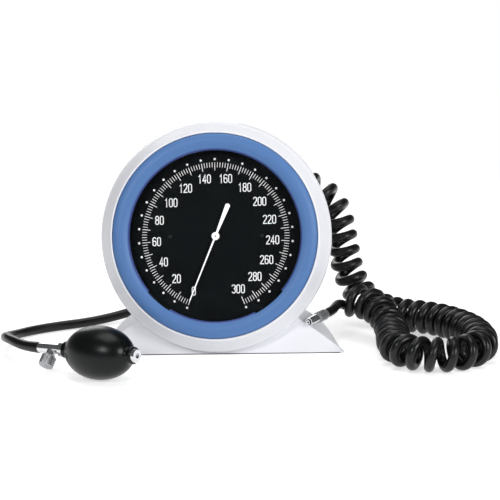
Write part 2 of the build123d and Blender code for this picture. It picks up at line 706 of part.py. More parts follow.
def shell_curve(drop, side):
    """Points of one shell's section, from its middle to its rim, as radius and height."""
    points = [(STUD_R + 1.2, CAPSULE_MID_W + side * (CAPSULE_HALF - drop))]
    for step in range(1, 9):
        wave = RIPPLE if step % 2 else -RIPPLE
        points.append((STUD_R + 1.2 + step * 2.2, CAPSULE_MID_W + side * (CAPSULE_HALF - 0.9 + wave - drop)))
    return points


with BuildPart() as capsule:
    with BuildSketch(Plane(origin=in_dial(*CAPSULE_AT, 0), x_dir=across_x, z_dir=-dial_up)):
        with BuildLine():
            upper = Spline(*shell_curve(0, 1))
            lower = Spline(*shell_curve(0, -1))
            Polyline(upper @ 1, (CAPSULE_R, CAPSULE_MID_W + 0.6), (CAPSULE_R, CAPSULE_MID_W - 0.6), lower @ 1)
            Polyline(upper @ 0, (0, CAPSULE_MID_W + CAPSULE_HALF), (0, CAPSULE_MID_W - CAPSULE_HALF), lower @ 0)
        make_face()
        with BuildLine():
            upper = Spline(*shell_curve(CAPSULE_WALL, 1))
            lower = Spline(*shell_curve(CAPSULE_WALL, -1))
            Polyline(upper @ 1, (CAPSULE_R - 1.5, CAPSULE_MID_W), lower @ 1)
            inner_half = CAPSULE_HALF - CAPSULE_WALL
            Polyline(upper @ 0, (0, CAPSULE_MID_W + inner_half), (0, CAPSULE_MID_W - inner_half), lower @ 0)
        make_face(mode=Mode.SUBTRACT)
    revolve(axis=Axis(in_dial(*CAPSULE_AT, 0), dial_out))
    with BuildSketch(dial_plane(cover_out_w, *CAPSULE_AT)):
        Circle(CAPSULE_BOSS_R)
    extrude(amount=COVER_T + 1.2)
    with BuildSketch(dial_plane(CAPSULE_MID_W, *CAPSULE_AT)):
        Circle(STUD_R + FIT)
    extrude(amount=CAPSULE_HALF + 1, mode=Mode.SUBTRACT)
save(capsule, "capsule")

with BuildPart() as capsule_stud:
    with BuildSketch(dial_plane(CAPSULE_MID_W + 0.5, *CAPSULE_AT)):
        Circle(STUD_R)
    extrude(amount=stud_top_w - CAPSULE_MID_W - 0.5)
    fillet(edges().group_by(Axis(dial_centre, dial_out))[-1], radius=0.8)
save(capsule_stud, "capsule_stud")

# Outlets in the cover, their nuts, and the pipes that join them to the capsule
HEX_AF = 12
HEX_T = 4
COLLAR_R = 5.45
COLLAR_L = 5
NUT_AF = 11
NUT_T = 3
PIPE_R = 1.6
outlet_w = cover_out_w - HEX_T - COLLAR_L
pipe_w = CAPSULE_MID_W
for outlet_name, outlet_at in (("coil_outlet", COIL_OUTLET), ("bulb_outlet", BULB_OUTLET)):
    with BuildPart() as outlet:
        add(turned(in_dial(*outlet_at, 0), dial_out, (
            (0, outlet_w), (COLLAR_R, outlet_w), (COLLAR_R, cover_out_w - 1), (OUTLET_R, cover_out_w - 1),
            (OUTLET_R, cover_in_w + NUT_T), (OUTLET_R - 0.5, cover_in_w + NUT_T),
            (OUTLET_R - 0.5, cover_in_w + NUT_T + 4), (0, cover_in_w + NUT_T + 4),
        )))
        with BuildSketch(dial_plane(cover_out_w, *outlet_at)):
            RegularPolygon(HEX_AF / 2, 6, major_radius=False)
        extrude(amount=-HEX_T)
    save(outlet, outlet_name)

with BuildPart() as outlet_nuts:
    with BuildSketch(dial_plane(cover_in_w)):
        with Locations(COIL_OUTLET, BULB_OUTLET):
            RegularPolygon(NUT_AF / 2, 6, major_radius=False)
            Circle(OUTLET_R, mode=Mode.SUBTRACT)
    extrude(amount=NUT_T)
save(outlet_nuts, "outlet_nuts")

with BuildPart() as pressure_pipes:
    pipe_level = dial_plane(pipe_w)
    with BuildLine(pipe_level):
        FilletPolyline((CAPSULE_AT[0], CAPSULE_AT[1]), (COIL_OUTLET[0], CAPSULE_AT[1]), COIL_OUTLET, radius=10)
    with BuildSketch(Plane(origin=in_dial(*CAPSULE_AT, pipe_w), z_dir=across_x)):
        Circle(PIPE_R)
    sweep()
    run = in_dial(*BULB_OUTLET, pipe_w) - in_dial(*CAPSULE_AT, pipe_w)
    with BuildSketch(Plane(origin=in_dial(*CAPSULE_AT, pipe_w), z_dir=run)):
        Circle(PIPE_R)
    extrude(amount=run.length)
    with BuildSketch(pipe_level.offset(-5)):
        with Locations(CAPSULE_AT):
            Circle(CAPSULE_R)
        with Locations(COIL_OUTLET, BULB_OUTLET):
            Circle(OUTLET_R - 0.5)
    extrude(amount=10, mode=Mode.SUBTRACT)
save(pressure_pipes, "pressure_pipes")

# Bulb, release valve and intake valve, laid out along the bulb's axis from its middle
BULB_TURN = -32  # degrees from +X to the intake end
BULB_TILT = 4.5  # degrees that the intake end lies higher
BULB_AT = (-94, -118)
BULB_WALL = 2.5
NECK_R, NECK_L = 7.2, 5.7
BARB_R = 4.5
VALVE_R = 4.5
VALVE_TAIL = -66.5
VALVE_COLLAR_R, VALVE_COLLAR_L = 6.7, 4.2
CROSS_AT = -51.5
CROSS_R = 4.25
CROSS_L = 6.5
CROSS_TILT = 45  # degrees that the valve's screw leans from straight down towards the front
SPINDLE_R = 1.5
SPINDLE_FROM = 1.5
KNOB_R = 6.5
KNOB_FROM, KNOB_TO = 7.9, 17
KNOB_RIDGES = 32
INTAKE_R, INTAKE_L = 6.0, 3
CHAMBER_R = 2.0
THROAT_R = 1.1
BALL_R = 1.6
bulb_turn, bulb_tilt, cross_lean = radians(BULB_TURN), radians(BULB_TILT), radians(CROSS_TILT)
bulb_way = Vector(cos(bulb_turn) * cos(bulb_tilt), sin(bulb_turn) * cos(bulb_tilt), sin(bulb_tilt))
bulb_front = bulb_way.cross(Vector(0, 0, 1)).normalized()
bulb_up = bulb_front.cross(bulb_way)
cross_way = bulb_front * sin(cross_lean) - bulb_up * cos(cross_lean)
neck_end = BULB_LENGTH / 2
neck_start = neck_end - NECK_L
bulb_half = neck_start / sqrt(1 - (2 * NECK_R / BULB_D) ** 2)
bulb_rest = sqrt((bulb_half * sin(bulb_tilt)) ** 2 + (BULB_D / 2 * cos(bulb_tilt)) ** 2)
bulb_centre = Vector(*BULB_AT, bulb_rest)
cross_centre = bulb_centre + bulb_way * CROSS_AT
bulb_section = Plane(origin=bulb_centre, x_dir=bulb_way, z_dir=bulb_front)


def along_bulb(distance):
    """The plane square to the bulb's axis at a distance from the bulb's middle."""
    return Plane(origin=bulb_centre + bulb_way * distance, x_dir=bulb_up, z_dir=bulb_way)


def along_cross(distance):
    """The plane square to the release valve's screw at a distance from the valve's middle."""
    return Plane(origin=cross_centre + cross_way * distance, x_dir=bulb_way, z_dir=cross_way)


with BuildPart() as bulb:
    with BuildSketch(bulb_section):
        Ellipse(bulb_half, BULB_D / 2)
        Rectangle(2 * neck_start, BULB_D, mode=Mode.INTERSECT)
        Rectangle(2 * neck_end, 2 * NECK_R)
        Ellipse(bulb_half - BULB_WALL, BULB_D / 2 - BULB_WALL, mode=Mode.SUBTRACT)
        Rectangle(2 * neck_end, 2 * BARB_R, mode=Mode.SUBTRACT)
        with Locations((0, -BULB_D)):
            Rectangle(4 * neck_end, 2 * BULB_D, mode=Mode.SUBTRACT)
    revolve(axis=Axis(bulb_centre, bulb_way))
save(bulb, "bulb")

with BuildPart() as valve_body:
    add(turned(bulb_centre, bulb_way, (
        (0, VALVE_TAIL), (VALVE_R, VALVE_TAIL), (VALVE_R, -neck_end - VALVE_COLLAR_L - 1),
        (VALVE_COLLAR_R, -neck_end - VALVE_COLLAR_L), (VALVE_COLLAR_R, -neck_end), (BARB_R, -neck_end),
        (BARB_R, -neck_end + 6), (0, -neck_end + 6),
    )))
    with BuildSketch(along_cross(0)):
        Circle(CROSS_R)
    extrude(amount=CROSS_L)
    with BuildSketch(along_bulb(VALVE_TAIL)):
        Circle(1.2)
    extrude(amount=-VALVE_TAIL, mode=Mode.SUBTRACT)
    with BuildSketch(along_cross(SPINDLE_FROM - SLIP)):
        Circle(SPINDLE_R + FIT)
    extrude(amount=CROSS_L, mode=Mode.SUBTRACT)
save(valve_body, "valve_body")

with BuildPart() as valve_spindle:
    with BuildSketch(along_cross(SPINDLE_FROM)):
        Circle(SPINDLE_R)
    extrude(amount=KNOB_FROM + 6 - SPINDLE_FROM)
save(valve_spindle, "valve_spindle")

with BuildPart() as valve_knob:
    with BuildSketch(along_cross(KNOB_FROM)):
        Circle(KNOB_R)
    extrude(amount=KNOB_TO - KNOB_FROM)
    chamfer(edges().filter_by(GeomType.CIRCLE), 0.5)
    with BuildSketch(along_cross(KNOB_FROM)):
        with PolarLocations(KNOB_R + 0.1, KNOB_RIDGES):
            Rectangle(0.7, 0.5)
    extrude(amount=KNOB_TO - KNOB_FROM, mode=Mode.SUBTRACT)
    with BuildSketch(along_cross(KNOB_FROM)):
        Circle(SPINDLE_R + FIT)
    extrude(amount=6 + FIT, mode=Mode.SUBTRACT)
save(valve_knob, "valve_knob")

with BuildPart() as intake_valve:
    add(turned(bulb_centre, bulb_way, (
        (CHAMBER_R, neck_end - 6), (BARB_R, neck_end - 6), (BARB_R, neck_end), (INTAKE_R, neck_end),
        (INTAKE_R, neck_end + INTAKE_L - 0.8), (INTAKE_R - 0.8, neck_end + INTAKE_L), (2.2, neck_end + INTAKE_L),
        (2.2, neck_end + 1.4), (THROAT_R, neck_end + 1.4), (THROAT_R, neck_end), (CHAMBER_R, neck_end),
    )))
save(intake_valve, "intake_valve")

ball_seat = sqrt(BALL_R ** 2 - THROAT_R ** 2) + 0.04
with BuildPart() as intake_ball:
    with Locations(bulb_centre + bulb_way * (neck_end - ball_seat)):
        Sphere(BALL_R)
save(intake_ball, "intake_ball")

with BuildPart() as intake_retainer:
    with BuildSketch(along_bulb(neck_end - 5.5)):
        Circle(CHAMBER_R)
        Circle(CHAMBER_R - 1.0, mode=Mode.SUBTRACT)
    extrude(amount=0.8)
save(intake_retainer, "intake_retainer")


def corner_radii(points):
    """Fillets that take less than half of the shorter run at each corner of a route."""
    radii = []
    for before, corner, after in zip(points, points[1:], points[2:]):
        into, out = corner - before, after - corner
        half_turn = radians(into.get_angle(out)) / 2
        radii.append(0.45 * min(into.length, out.length) / tan(half_turn))
    return radii


# Bulb hose: leaves the cover, drops to the desk and loops round to the release valve
bulb_tail = bulb_centre + bulb_way * VALVE_TAIL
BULB_HOSE_WAY = (
    (-52, 46, 36),
    (-61, 57.5, 22.5),
    (-79, 60.5, 12),
    (-102, 54, 6.5),
    (-127, 42, 4.4),
    (-152, 31, 4.4),
    (-172, 19, 4.4),
    (-186, 2, 5.4),
    (-190.5, -19, 9.5),
    (-188.5, -40, 15),
    (-180.5, -58, 18.5),
)
bulb_route = [in_dial(*BULB_OUTLET, outlet_w), in_dial(*BULB_OUTLET, outlet_w - 17)]
bulb_route += [Vector(*point) for point in BULB_HOSE_WAY]
bulb_route += [bulb_tail - bulb_way * 18, bulb_tail]
bulb_radii = corner_radii(bulb_route)
with BuildPart() as bulb_hose:
    with BuildLine() as bulb_line:
        FilletPolyline(*bulb_route, radius=bulb_radii)
    with BuildSketch(Plane(origin=bulb_route[0], z_dir=-dial_out)):
        Circle(HOSE_D / 2)
    sweep()
save(bulb_hose, "bulb_hose")
bulb_hose_length = bulb_line.wire().length
bulb_hose_ideal = pi * HOSE_D ** 2 / 4 * bulb_hose_length
print("bulb hose: length", round(bulb_hose_length, 1), "smallest bend radius", round(min(bulb_radii), 1))
print("bulb hose: volume against section x length", round(bulb_hose.part.volume / bulb_hose_ideal, 4))

# Curly hose: its curls follow a spine that hangs from the cover and lies in a hairpin on the desk
COIL_START_W = -58.5  # of the spine's start, one coil radius below the outlet
COIL_SPINE = (
    (78, 43.5, 131),
    (102, 43, 112.5),
    (107.8, 43, 82),
    (111.6, 42.5, 56),
    (118.5, 41, 35),
    (134, 32.5, 19.5),
    (156, 17.5, 15.2),
    (178, 8.5, 15.2),
    (200, -7.5, 15.2),
    (218.5, -35, 15.2),
    (225.5, -61, 15.2),
    (225.5, -85, 15.2),
    (211.5, -104.4, 15.2),
    (188.7, -111.7, 15.2),
    (166, -104.4, 15.2),
    (152, -85, 15.2),
    (151.3, -63, 15.2),
    (151.4, -47, 15.6),
    (150.3, -35.5, 17.2),
    (147.6, -25, 21.2),
    (141.8, -15.5, 27),
    (134.2, -6, 30.4),
    (124.2, 1.2, 32.2),
    (112, 5, 33),
)
# Tables along the spine: each row is a distance from its start, and the value there
COIL_PITCH = (
    (0, 15.4),
    (60, 15.4),
    (75, 13.6),
    (180, 13.6),
    (205, 11.4),
    (290, 11.4),
    (325, 13.8),
    (435, 13.8),
    (450, 12.1),
    (466, 12.1),
    (478, 13.3),
    (700, 13.3),
)  # length of the spine that one curl takes
COIL_WIDER = ((0, 0), (490, 0), (515, 0.5), (700, 0.5))  # added to the curl's radius
COIL_ASKEW = (
    (0, 0),
    (50, 0),
    (70, -14),
    (135, -12),
    (152, -2),
    (168, 6),
    (190, 0),
    (700, 0),
)  # degrees by which the hanging curls sag out of square
STEPS = 24  # frames worked out in one curl
LUER_WAY = (-0.586, -0.807, -0.072)
LUER_AT = (93.5, -31, 29.9)  # end of the tube, where the connector's ferrule starts
COIL_TAIL = (
    ((110.5, 14, 25.2), (-0.95, -0.12, 0.28)),
    ((103, 5, 28.3), (-0.25, -0.95, 0.12)),
)  # points that the tail passes, and its direction there
TAIL_STRAIGHT = 4  # straight part before the connector
coil_r = (COIL_OD - HOSE_D) / 2
luer_way = Vector(*LUER_WAY).normalized()
luer_at = Vector(*LUER_AT)


def value_at(table, distance):
    """The value of a table at a distance along the spine."""
    for (near, near_value), (far, far_value) in zip(table, table[1:]):
        if distance <= far:
            return near_value + (far_value - near_value) * (distance - near) / (far - near)
    return table[-1][1]


def biarc(start, start_way, end, end_way):
    """Two arcs that leave the start and reach the end in the given directions."""
    gap, ways = end - start, start_way + end_way
    a = 2 * (1 - start_way.dot(end_way))
    b = 2 * gap.dot(ways)
    c = -gap.dot(gap)
    reach = -c / b if abs(a) < 1e-9 else (sqrt(b * b - 4 * a * c) - b) / (2 * a)
    joint = (start + start_way * reach + end - end_way * reach) * 0.5
    TangentArc(start, joint, tangent=start_way)
    TangentArc(end, joint, tangent=end_way * -1)


coil_start = in_dial(COIL_OUTLET[0], COIL_OUTLET[1] - coil_r, COIL_START_W)
coil_route = [coil_start] + [Vector(*point) for point in COIL_SPINE]
coil_radii = corner_radii(coil_route)
with BuildLine() as spine_line:
    FilletPolyline(*coil_route, radius=coil_radii)
spine = spine_line.wire()

# Frames carried along the spine without twist, and the hose's point in each
curl_points = []
radial, distance, angle = dial_up, 0, 0
while distance < spine.length:
    centre = spine.position_at(distance, position_mode=PositionMode.LENGTH)
    way = spine.tangent_at(distance, position_mode=PositionMode.LENGTH)
    way = way.rotate(Axis.Y, value_at(COIL_ASKEW, distance))
    radial = (radial - way * radial.dot(way)).normalized()
    side = way.cross(radial)
    curl_r = coil_r + value_at(COIL_WIDER, distance)
    curl_points.append(centre + (radial * cos(angle) + side * sin(angle)) * curl_r)
    distance += value_at(COIL_PITCH, distance) / STEPS
    angle -= 2 * pi / STEPS
lowest = min(range(len(curl_points) - STEPS - 2, len(curl_points) - 2), key=lambda i: curl_points[i].Z)
curl_knots = list(range(0, lowest - STEPS // 4, STEPS // 2)) + [lowest]
coil_knots = [(curl_points[0], dial_out * -1)]
for i in curl_knots[1:]:
    coil_knots.append((curl_points[i], (curl_points[i + 1] - curl_points[i - 1]).normalized()))
for point, way in COIL_TAIL:
    coil_knots.append((Vector(*point), Vector(*way).normalized()))
coil_knots.append((luer_at - luer_way * TAIL_STRAIGHT, luer_way))
with BuildLine() as coil_line:
    Line(coil_knots[0][0] + dial_out * HOSE_D, coil_knots[0][0])
    for (start, start_way), (end, end_way) in zip(coil_knots, coil_knots[1:]):
        biarc(start, start_way, end, end_way)
    Line(coil_knots[-1][0], luer_at)
coil_path = coil_line.wire()

# Least gap of the tube to itself, on points of the path that lie over a third of a curl apart
GAP_STEP = 1.0
count = int(coil_path.length / GAP_STEP)
path_points = [coil_path.position_at(i / count) for i in range(count + 1)]
apart = int(2 * pi * coil_r / 3 / GAP_STEP)
least = min(
    (path_points[i] - path_points[j]).length
    for i in range(len(path_points))
    for j in range(i + apart, min(len(path_points), i + 8 * apart))
)
print("coil spine: length", round(spine.length, 1), "smallest bend radius", round(min(coil_radii), 1))
print("coil: curls", round(lowest / STEPS, 1), "tube length", round(coil_path.length, 1))
print("coil: least gap to itself", round(least - HOSE_D, 2))
print("coil: lowest point", round(min(point.Z for point in path_points) - HOSE_D / 2, 2))

with BuildPart() as coil_hose:
    with BuildSketch(Plane(origin=coil_knots[0][0] + dial_out * HOSE_D, z_dir=-dial_out)):
        Circle(HOSE_D / 2)
    sweep(path=coil_path)
save(coil_hose, "coil_hose")
coil_ideal = pi * HOSE_D ** 2 / 4 * coil_path.length
print("coil: volume against section x length", round(coil_hose.part.volume / coil_ideal, 4))

# Luer connector: a core in the tube's end, a free knurled ring on it, and the locking tip
CORE_R = 3.0
RING_R, RING_FROM, RING_TO = 4.75, 1.4, 12.4
RING_RIDGES = 28
TIP_R, TIP_FROM, TIP_TO = 3.7, 13.4, 24.4
TIP_BORE_R, TIP_BORE_FROM = 2.9, 18.4
LUER_TAPER = 0.06  # change of diameter per length
luer_across = luer_way.cross(Vector(0, 0, 1)).normalized()


def along_luer(distance):
    """The plane square to the connector at a distance from the end of the tube."""
    return Plane(origin=luer_at + luer_way * distance, x_dir=luer_across, z_dir=luer_way)


with BuildPart() as luer_core:
    add(turned(luer_at, luer_way, (
        (0, 0), (HOSE_D / 2, 0), (HOSE_D / 2, RING_FROM - SLIP / 2), (CORE_R, RING_FROM - SLIP / 2),
        (CORE_R, RING_TO + SLIP / 2), (CORE_R + 0.4, RING_TO + SLIP / 2), (CORE_R + 0.4, TIP_FROM),
        (0, TIP_FROM),
    )))
save(luer_core, "luer_core")

with BuildPart() as luer_ring:
    add(turned(luer_at, luer_way, (
        (CORE_R + FIT, RING_FROM), (RING_R - 0.4, RING_FROM), (RING_R, RING_FROM + 0.4), (RING_R, RING_TO - 0.4),
        (RING_R - 0.4, RING_TO), (CORE_R + FIT, RING_TO),
    )))
    with BuildSketch(along_luer(RING_FROM)):
        with PolarLocations(RING_R, RING_RIDGES):
            Rectangle(0.5, 0.45)
    extrude(amount=RING_TO - RING_FROM, mode=Mode.SUBTRACT)
save(luer_ring, "luer_ring")

luer_tip_r = (4.0 - LUER_TAPER * 2) / 2
luer_root_r = luer_tip_r + LUER_TAPER * (TIP_TO + 1 - TIP_BORE_FROM) / 2
with BuildPart() as luer_tip:
    add(turned(luer_at, luer_way, (
        (0, TIP_FROM), (TIP_R, TIP_FROM), (TIP_R, TIP_TO), (TIP_BORE_R, TIP_TO), (TIP_BORE_R, TIP_BORE_FROM),
        (luer_root_r, TIP_BORE_FROM), (luer_tip_r, TIP_TO + 1), (1.0, TIP_TO + 1), (1.0, TIP_FROM + 2),
        (0, TIP_FROM + 2),
    )))
save(luer_tip, "luer_tip")
print("luer: end of the tube", [round(v, 2) for v in luer_at], "end of the tip", [
    round(v, 2) for v in luer_at + luer_way * (TIP_TO + 1)
])
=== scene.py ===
"""Desk gauge for blood pressure, with its hand bulb on a plain hose and a curly hose to the cuff.

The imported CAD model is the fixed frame. This script gives it finishes, prints the dial, and makes the
rubber bulb and both hoses. Metres, in the row frame: the front faces -Y and +Z is up.
"""

from math import cos, hypot, radians, sin, tau

import bmesh
import bpy
from mathutils import Matrix, Vector


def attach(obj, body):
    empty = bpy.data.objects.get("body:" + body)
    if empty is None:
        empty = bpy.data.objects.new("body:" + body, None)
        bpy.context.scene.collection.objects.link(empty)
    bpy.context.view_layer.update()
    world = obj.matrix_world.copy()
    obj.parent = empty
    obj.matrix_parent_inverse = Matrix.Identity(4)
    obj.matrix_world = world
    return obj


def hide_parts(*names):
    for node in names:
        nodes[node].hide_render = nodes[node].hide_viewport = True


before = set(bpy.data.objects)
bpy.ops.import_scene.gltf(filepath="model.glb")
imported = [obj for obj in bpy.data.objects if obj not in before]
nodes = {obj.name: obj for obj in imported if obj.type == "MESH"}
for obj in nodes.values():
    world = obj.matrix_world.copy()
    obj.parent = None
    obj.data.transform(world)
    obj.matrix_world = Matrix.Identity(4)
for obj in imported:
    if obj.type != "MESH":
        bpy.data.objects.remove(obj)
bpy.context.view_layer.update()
mm = 0.001

# Stand: one white moulding, a front panel with an arched outline and the hood behind it.
# Injection-moulded ABS with a very fine spark-eroded skin, satin, rubbed a little smoother in patches
# where hands take hold of it.


def add_node(tree, kind, values=None, **settings):
    """A node with its settings; values are numbers or sockets by input name or number."""
    made = tree.nodes.new(kind)
    for key, value in settings.items():
        setattr(made, key, value)
    for key, value in (values or {}).items():
        if isinstance(value, bpy.types.NodeSocket):
            tree.links.new(value, made.inputs[key])
        else:
            made.inputs[key].default_value = value
    return made


def effect(name, numbers, results):
    """An empty shader node group with number inputs and value outputs; returns it, its input and output."""
    group = bpy.data.node_groups.new(name, "ShaderNodeTree")
    for socket_name, usual in numbers.items():
        socket = group.interface.new_socket(name=socket_name, in_out="INPUT", socket_type="NodeSocketFloat")
        socket.default_value = usual
    for socket_name in results:
        group.interface.new_socket(name=socket_name, in_out="OUTPUT", socket_type="NodeSocketFloat")
    return group, group.nodes.new("NodeGroupInput"), group.nodes.new("NodeGroupOutput")


def use(tree, group, **numbers):
    """An effect placed in a material with its own numbers."""
    placed = tree.nodes.new("ShaderNodeGroup")
    placed.node_tree = group
    for key, value in numbers.items():
        placed.inputs[key].default_value = value
    return placed.outputs


def ranged(tree, value, low, high, to_low, to_high):
    """A value that runs from to_low to to_high while the given one runs from low to high."""
    values = {"Value": value, "From Min": low, "From Max": high, "To Min": to_low, "To Max": to_high}
    return add_node(tree, "ShaderNodeMapRange", values).outputs["Result"]


def mixed(tree, share, a, b):
    """A colour between a and b; share is a number or a socket."""
    mix = add_node(tree, "ShaderNodeMix", {0: share, 6: a, 7: b}, data_type="RGBA")
    return mix.outputs[2]


def rgb(text):
    """A linear colour from a written one such as 5b82bd."""
    parts = [int(text[i:i + 2], 16) / 255 for i in (0, 2, 4)]
    return (*[p / 12.92 if p <= 0.04045 else ((p + 0.055) / 1.055) ** 2.4 for p in parts], 1)


def new_finish(name, **plain):
    """A material with a Principled shader; plain values go on the shader's own sockets."""
    material = bpy.data.materials.new(name)
    material.use_nodes = True
    tree = material.node_tree
    tree.nodes.clear()
    shader = add_node(tree, "ShaderNodeBsdfPrincipled")
    for key, value in plain.items():
        shader.inputs[key.replace("_", " ")].default_value = value
    add_node(tree, "ShaderNodeOutputMaterial", {"Surface": shader.outputs[0]})
    return material, tree, shader


def feed(tree, shader, **sockets):
    """Joins sockets to the shader's inputs."""
    for key, socket in sockets.items():
        tree.links.new(socket, shader.inputs[key.replace("_", " ")])


def bumped(tree, height, depth):
    """A normal from a height that is depth metres from 0 to 1."""
    values = {"Height": height, "Distance": depth, "Strength": 1.0}
    return add_node(tree, "ShaderNodeBump", values).outputs["Normal"]


def paint(material, *names):
    """A finish on CAD pieces."""
    for name in names:
        for place in nodes[name].material_slots:
            place.link = "OBJECT"
            place.material = material


# Skin of a moulding: fine pits, and cloudy patches where it is rubbed smoother
moulded_skin, given, result = effect(
    "moulded_skin", {"Grain": 2600, "Patch": 16}, ("Pits", "Clouds", "Rubbed")
)
where = add_node(moulded_skin, "ShaderNodeTexCoord").outputs["Object"]
pits = add_node(
    moulded_skin, "ShaderNodeTexNoise",
    {"Vector": where, "Scale": given.outputs["Grain"], "Detail": 2.0, "Roughness": 0.6},
)
clouds = add_node(
    moulded_skin, "ShaderNodeTexNoise",
    {"Vector": where, "Scale": given.outputs["Patch"], "Detail": 4.0, "Roughness": 0.55, "Distortion": 0.4},
)
moulded_skin.links.new(pits.outputs[0], result.inputs["Pits"])
moulded_skin.links.new(clouds.outputs[0], result.inputs["Clouds"])
rubbed = ranged(moulded_skin, clouds.outputs[0], 0.52, 0.68, 0, 1)
moulded_skin.links.new(rubbed, result.inputs["Rubbed"])


def moulded(name, light, shade, rough, smooth, grain, depth, **plain):
    """A moulded plastic: two near tones in clouds, fine pits, and smoother rubbed patches.

    Returns the material, its node tree and shader, and the sockets of its skin.
    """
    material, tree, shader = new_finish(name, **plain)
    skin = use(tree, moulded_skin, Grain=grain)
    feed(
        tree, shader,
        Base_Color=mixed(tree, skin["Clouds"], rgb(shade), rgb(light)),
        Roughness=ranged(tree, skin["Rubbed"], 0, 1, rough, smooth),
        Normal=bumped(tree, skin["Pits"], depth),
    )
    return material, tree, shader, skin


stand_white = moulded("stand_white", "f3f4f9", "ecedf3", 0.46, 0.36, 2600, 0.03 * mm)[0]
paint(stand_white, "stand_shell")

# Base plate under the hood and its screws, hidden in use: the same white plastic, and zinc-plated steel
# screws with a dull, faintly spangled skin.
base_white = moulded("base_white", "dcdde0", "cfd0d4", 0.55, 0.45, 1800, 0.05 * mm)[0]
paint(base_white, "stand_base")

zinc_steel, tree, shader = new_finish("zinc_steel", Metallic=1.0)
skin = use(tree, moulded_skin, Grain=3200, Patch=420)
feed(
    tree, shader,
    Base_Color=mixed(tree, skin["Clouds"], rgb("8f9296"), rgb("c4c7ca")),
    Roughness=ranged(tree, skin["Clouds"], 0.3, 0.7, 0.28, 0.5),
    Normal=bumped(tree, skin["Pits"], 0.01 * mm),
)
paint(zinc_steel, "base_screws", "stand_screws", "cover_screws", "outlet_nuts")

# Underlay: a sheet of black rubber that the foot stands on, cut from a roll with a fine cross rib and
# glued under the base plate.
pad_rubber, tree, shader = new_finish("pad_rubber", Specular_IOR_Level=0.35)
where = add_node(tree, "ShaderNodeTexCoord").outputs["Object"]
ribs = add_node(
    tree, "ShaderNodeTexWave", {"Vector": where, "Scale": 260.0, "Distortion": 0.6, "Detail": 1.0},
    wave_type="BANDS", bands_direction="X",
)
skin = use(tree, moulded_skin, Grain=1500)
feed(
    tree, shader,
    Base_Color=mixed(tree, skin["Clouds"], rgb("141516"), rgb("242527")),
    Roughness=ranged(tree, skin["Clouds"], 0.3, 0.7, 0.7, 0.85),
    Normal=bumped(tree, ribs.outputs["Fac"], 0.1 * mm),
)
paint(pad_rubber, "base_pad")

# Case: a drum with a wide flared rim, moulded in a near-white grey, glossier than the stand. Hands and
# cloths have polished the outer corner of the rim.
LEAN = radians(15)
DIAL_CENTRE = Vector((0, -25.73, 99.241)) * mm
DIAL_UP = Vector((0, sin(LEAN), cos(LEAN)))
DIAL_OUT = Vector((0, -cos(LEAN), sin(LEAN)))


def math_node(tree, operation, a, b=0.5):
    """The result of a calculation with one or two numbers or sockets."""
    return add_node(tree, "ShaderNodeMath", {0: a, 1: b}, operation=operation).outputs[0]


def vector_node(tree, operation, a, b):
    """The outputs of a calculation with two vectors; a number comes out at Value."""
    return add_node(tree, "ShaderNodeVectorMath", {0: a, 1: b}, operation=operation).outputs


# Distance from the dial's axis, in metres
dial_place, given, result = effect("dial_place", {}, ("Radius",))
where = add_node(dial_place, "ShaderNodeTexCoord").outputs["Object"]
from_centre = vector_node(dial_place, "SUBTRACT", where, tuple(DIAL_CENTRE))[0]
height = vector_node(dial_place, "DOT_PRODUCT", from_centre, tuple(DIAL_OUT))["Value"]
square = vector_node(dial_place, "DOT_PRODUCT", from_centre, from_centre)["Value"]
rest = math_node(dial_place, "SUBTRACT", square, math_node(dial_place, "MULTIPLY", height, height))
dial_place.links.new(math_node(dial_place, "SQRT", rest), result.inputs["Radius"])

RIM_POLISH_FROM, RIM_POLISH_TO = 98 * mm, 99.8 * mm
case_grey, tree, shader, skin = moulded("case_grey", "f2f3f8", "e9eaf0", 0.34, 0.26, 3000, 0.015 * mm)
place = use(tree, dial_place)
corner = ranged(tree, place["Radius"], RIM_POLISH_FROM, RIM_POLISH_TO, 0, 1)
polished = math_node(tree, "MULTIPLY", corner, skin["Clouds"])
feed(tree, shader, Roughness=ranged(tree, polished, 0, 0.7, 0.34, 0.16))
paint(case_grey, "case_shell")

# Rear cover: a flat disc of the same plastic that closes the case, held by its screws. Its skin is
# coarser and duller, because nobody sees it.
cover_grey = moulded("cover_grey", "d9dade", "cbccd2", 0.5, 0.4, 1500, 0.05 * mm)[0]
paint(cover_grey, "rear_cover")

# Movement: brass plates, pillars, posts and bracket, stamped and turned, with a satin brushed skin and
# a little brown tarnish. The shafts and the pinion are ground steel.
brushed, given, result = effect("brushed", {"Lines": 1500}, ("Streaks", "Stain"))
where = add_node(brushed, "ShaderNodeTexCoord").outputs["Object"]
drawn_out = vector_node(brushed, "MULTIPLY", where, (0.04, 1, 1))[0]
streaks = add_node(
    brushed, "ShaderNodeTexNoise", {"Vector": drawn_out, "Scale": given.outputs["Lines"], "Detail": 3.0}
)
stain = add_node(
    brushed, "ShaderNodeTexNoise", {"Vector": where, "Scale": 70.0, "Detail": 5.0, "Roughness": 0.6}
)
brushed.links.new(streaks.outputs[0], result.inputs["Streaks"])
brushed.links.new(stain.outputs[0], result.inputs["Stain"])


def metal(name, light, stained, smooth, rough, lines, depth=0.004 * mm):
    """A metal with fine brush lines and stained patches."""
    material, tree, shader = new_finish(name, Metallic=1.0)
    marks = use(tree, brushed, Lines=lines)
    feed(
        tree, shader,
        Base_Color=mixed(tree, ranged(tree, marks["Stain"], 0.4, 0.7, 0, 1), rgb(light), rgb(stained)),
        Roughness=ranged(tree, marks["Streaks"], 0.3, 0.7, smooth, rough),
        Normal=bumped(tree, marks["Streaks"], depth),
    )
    return material


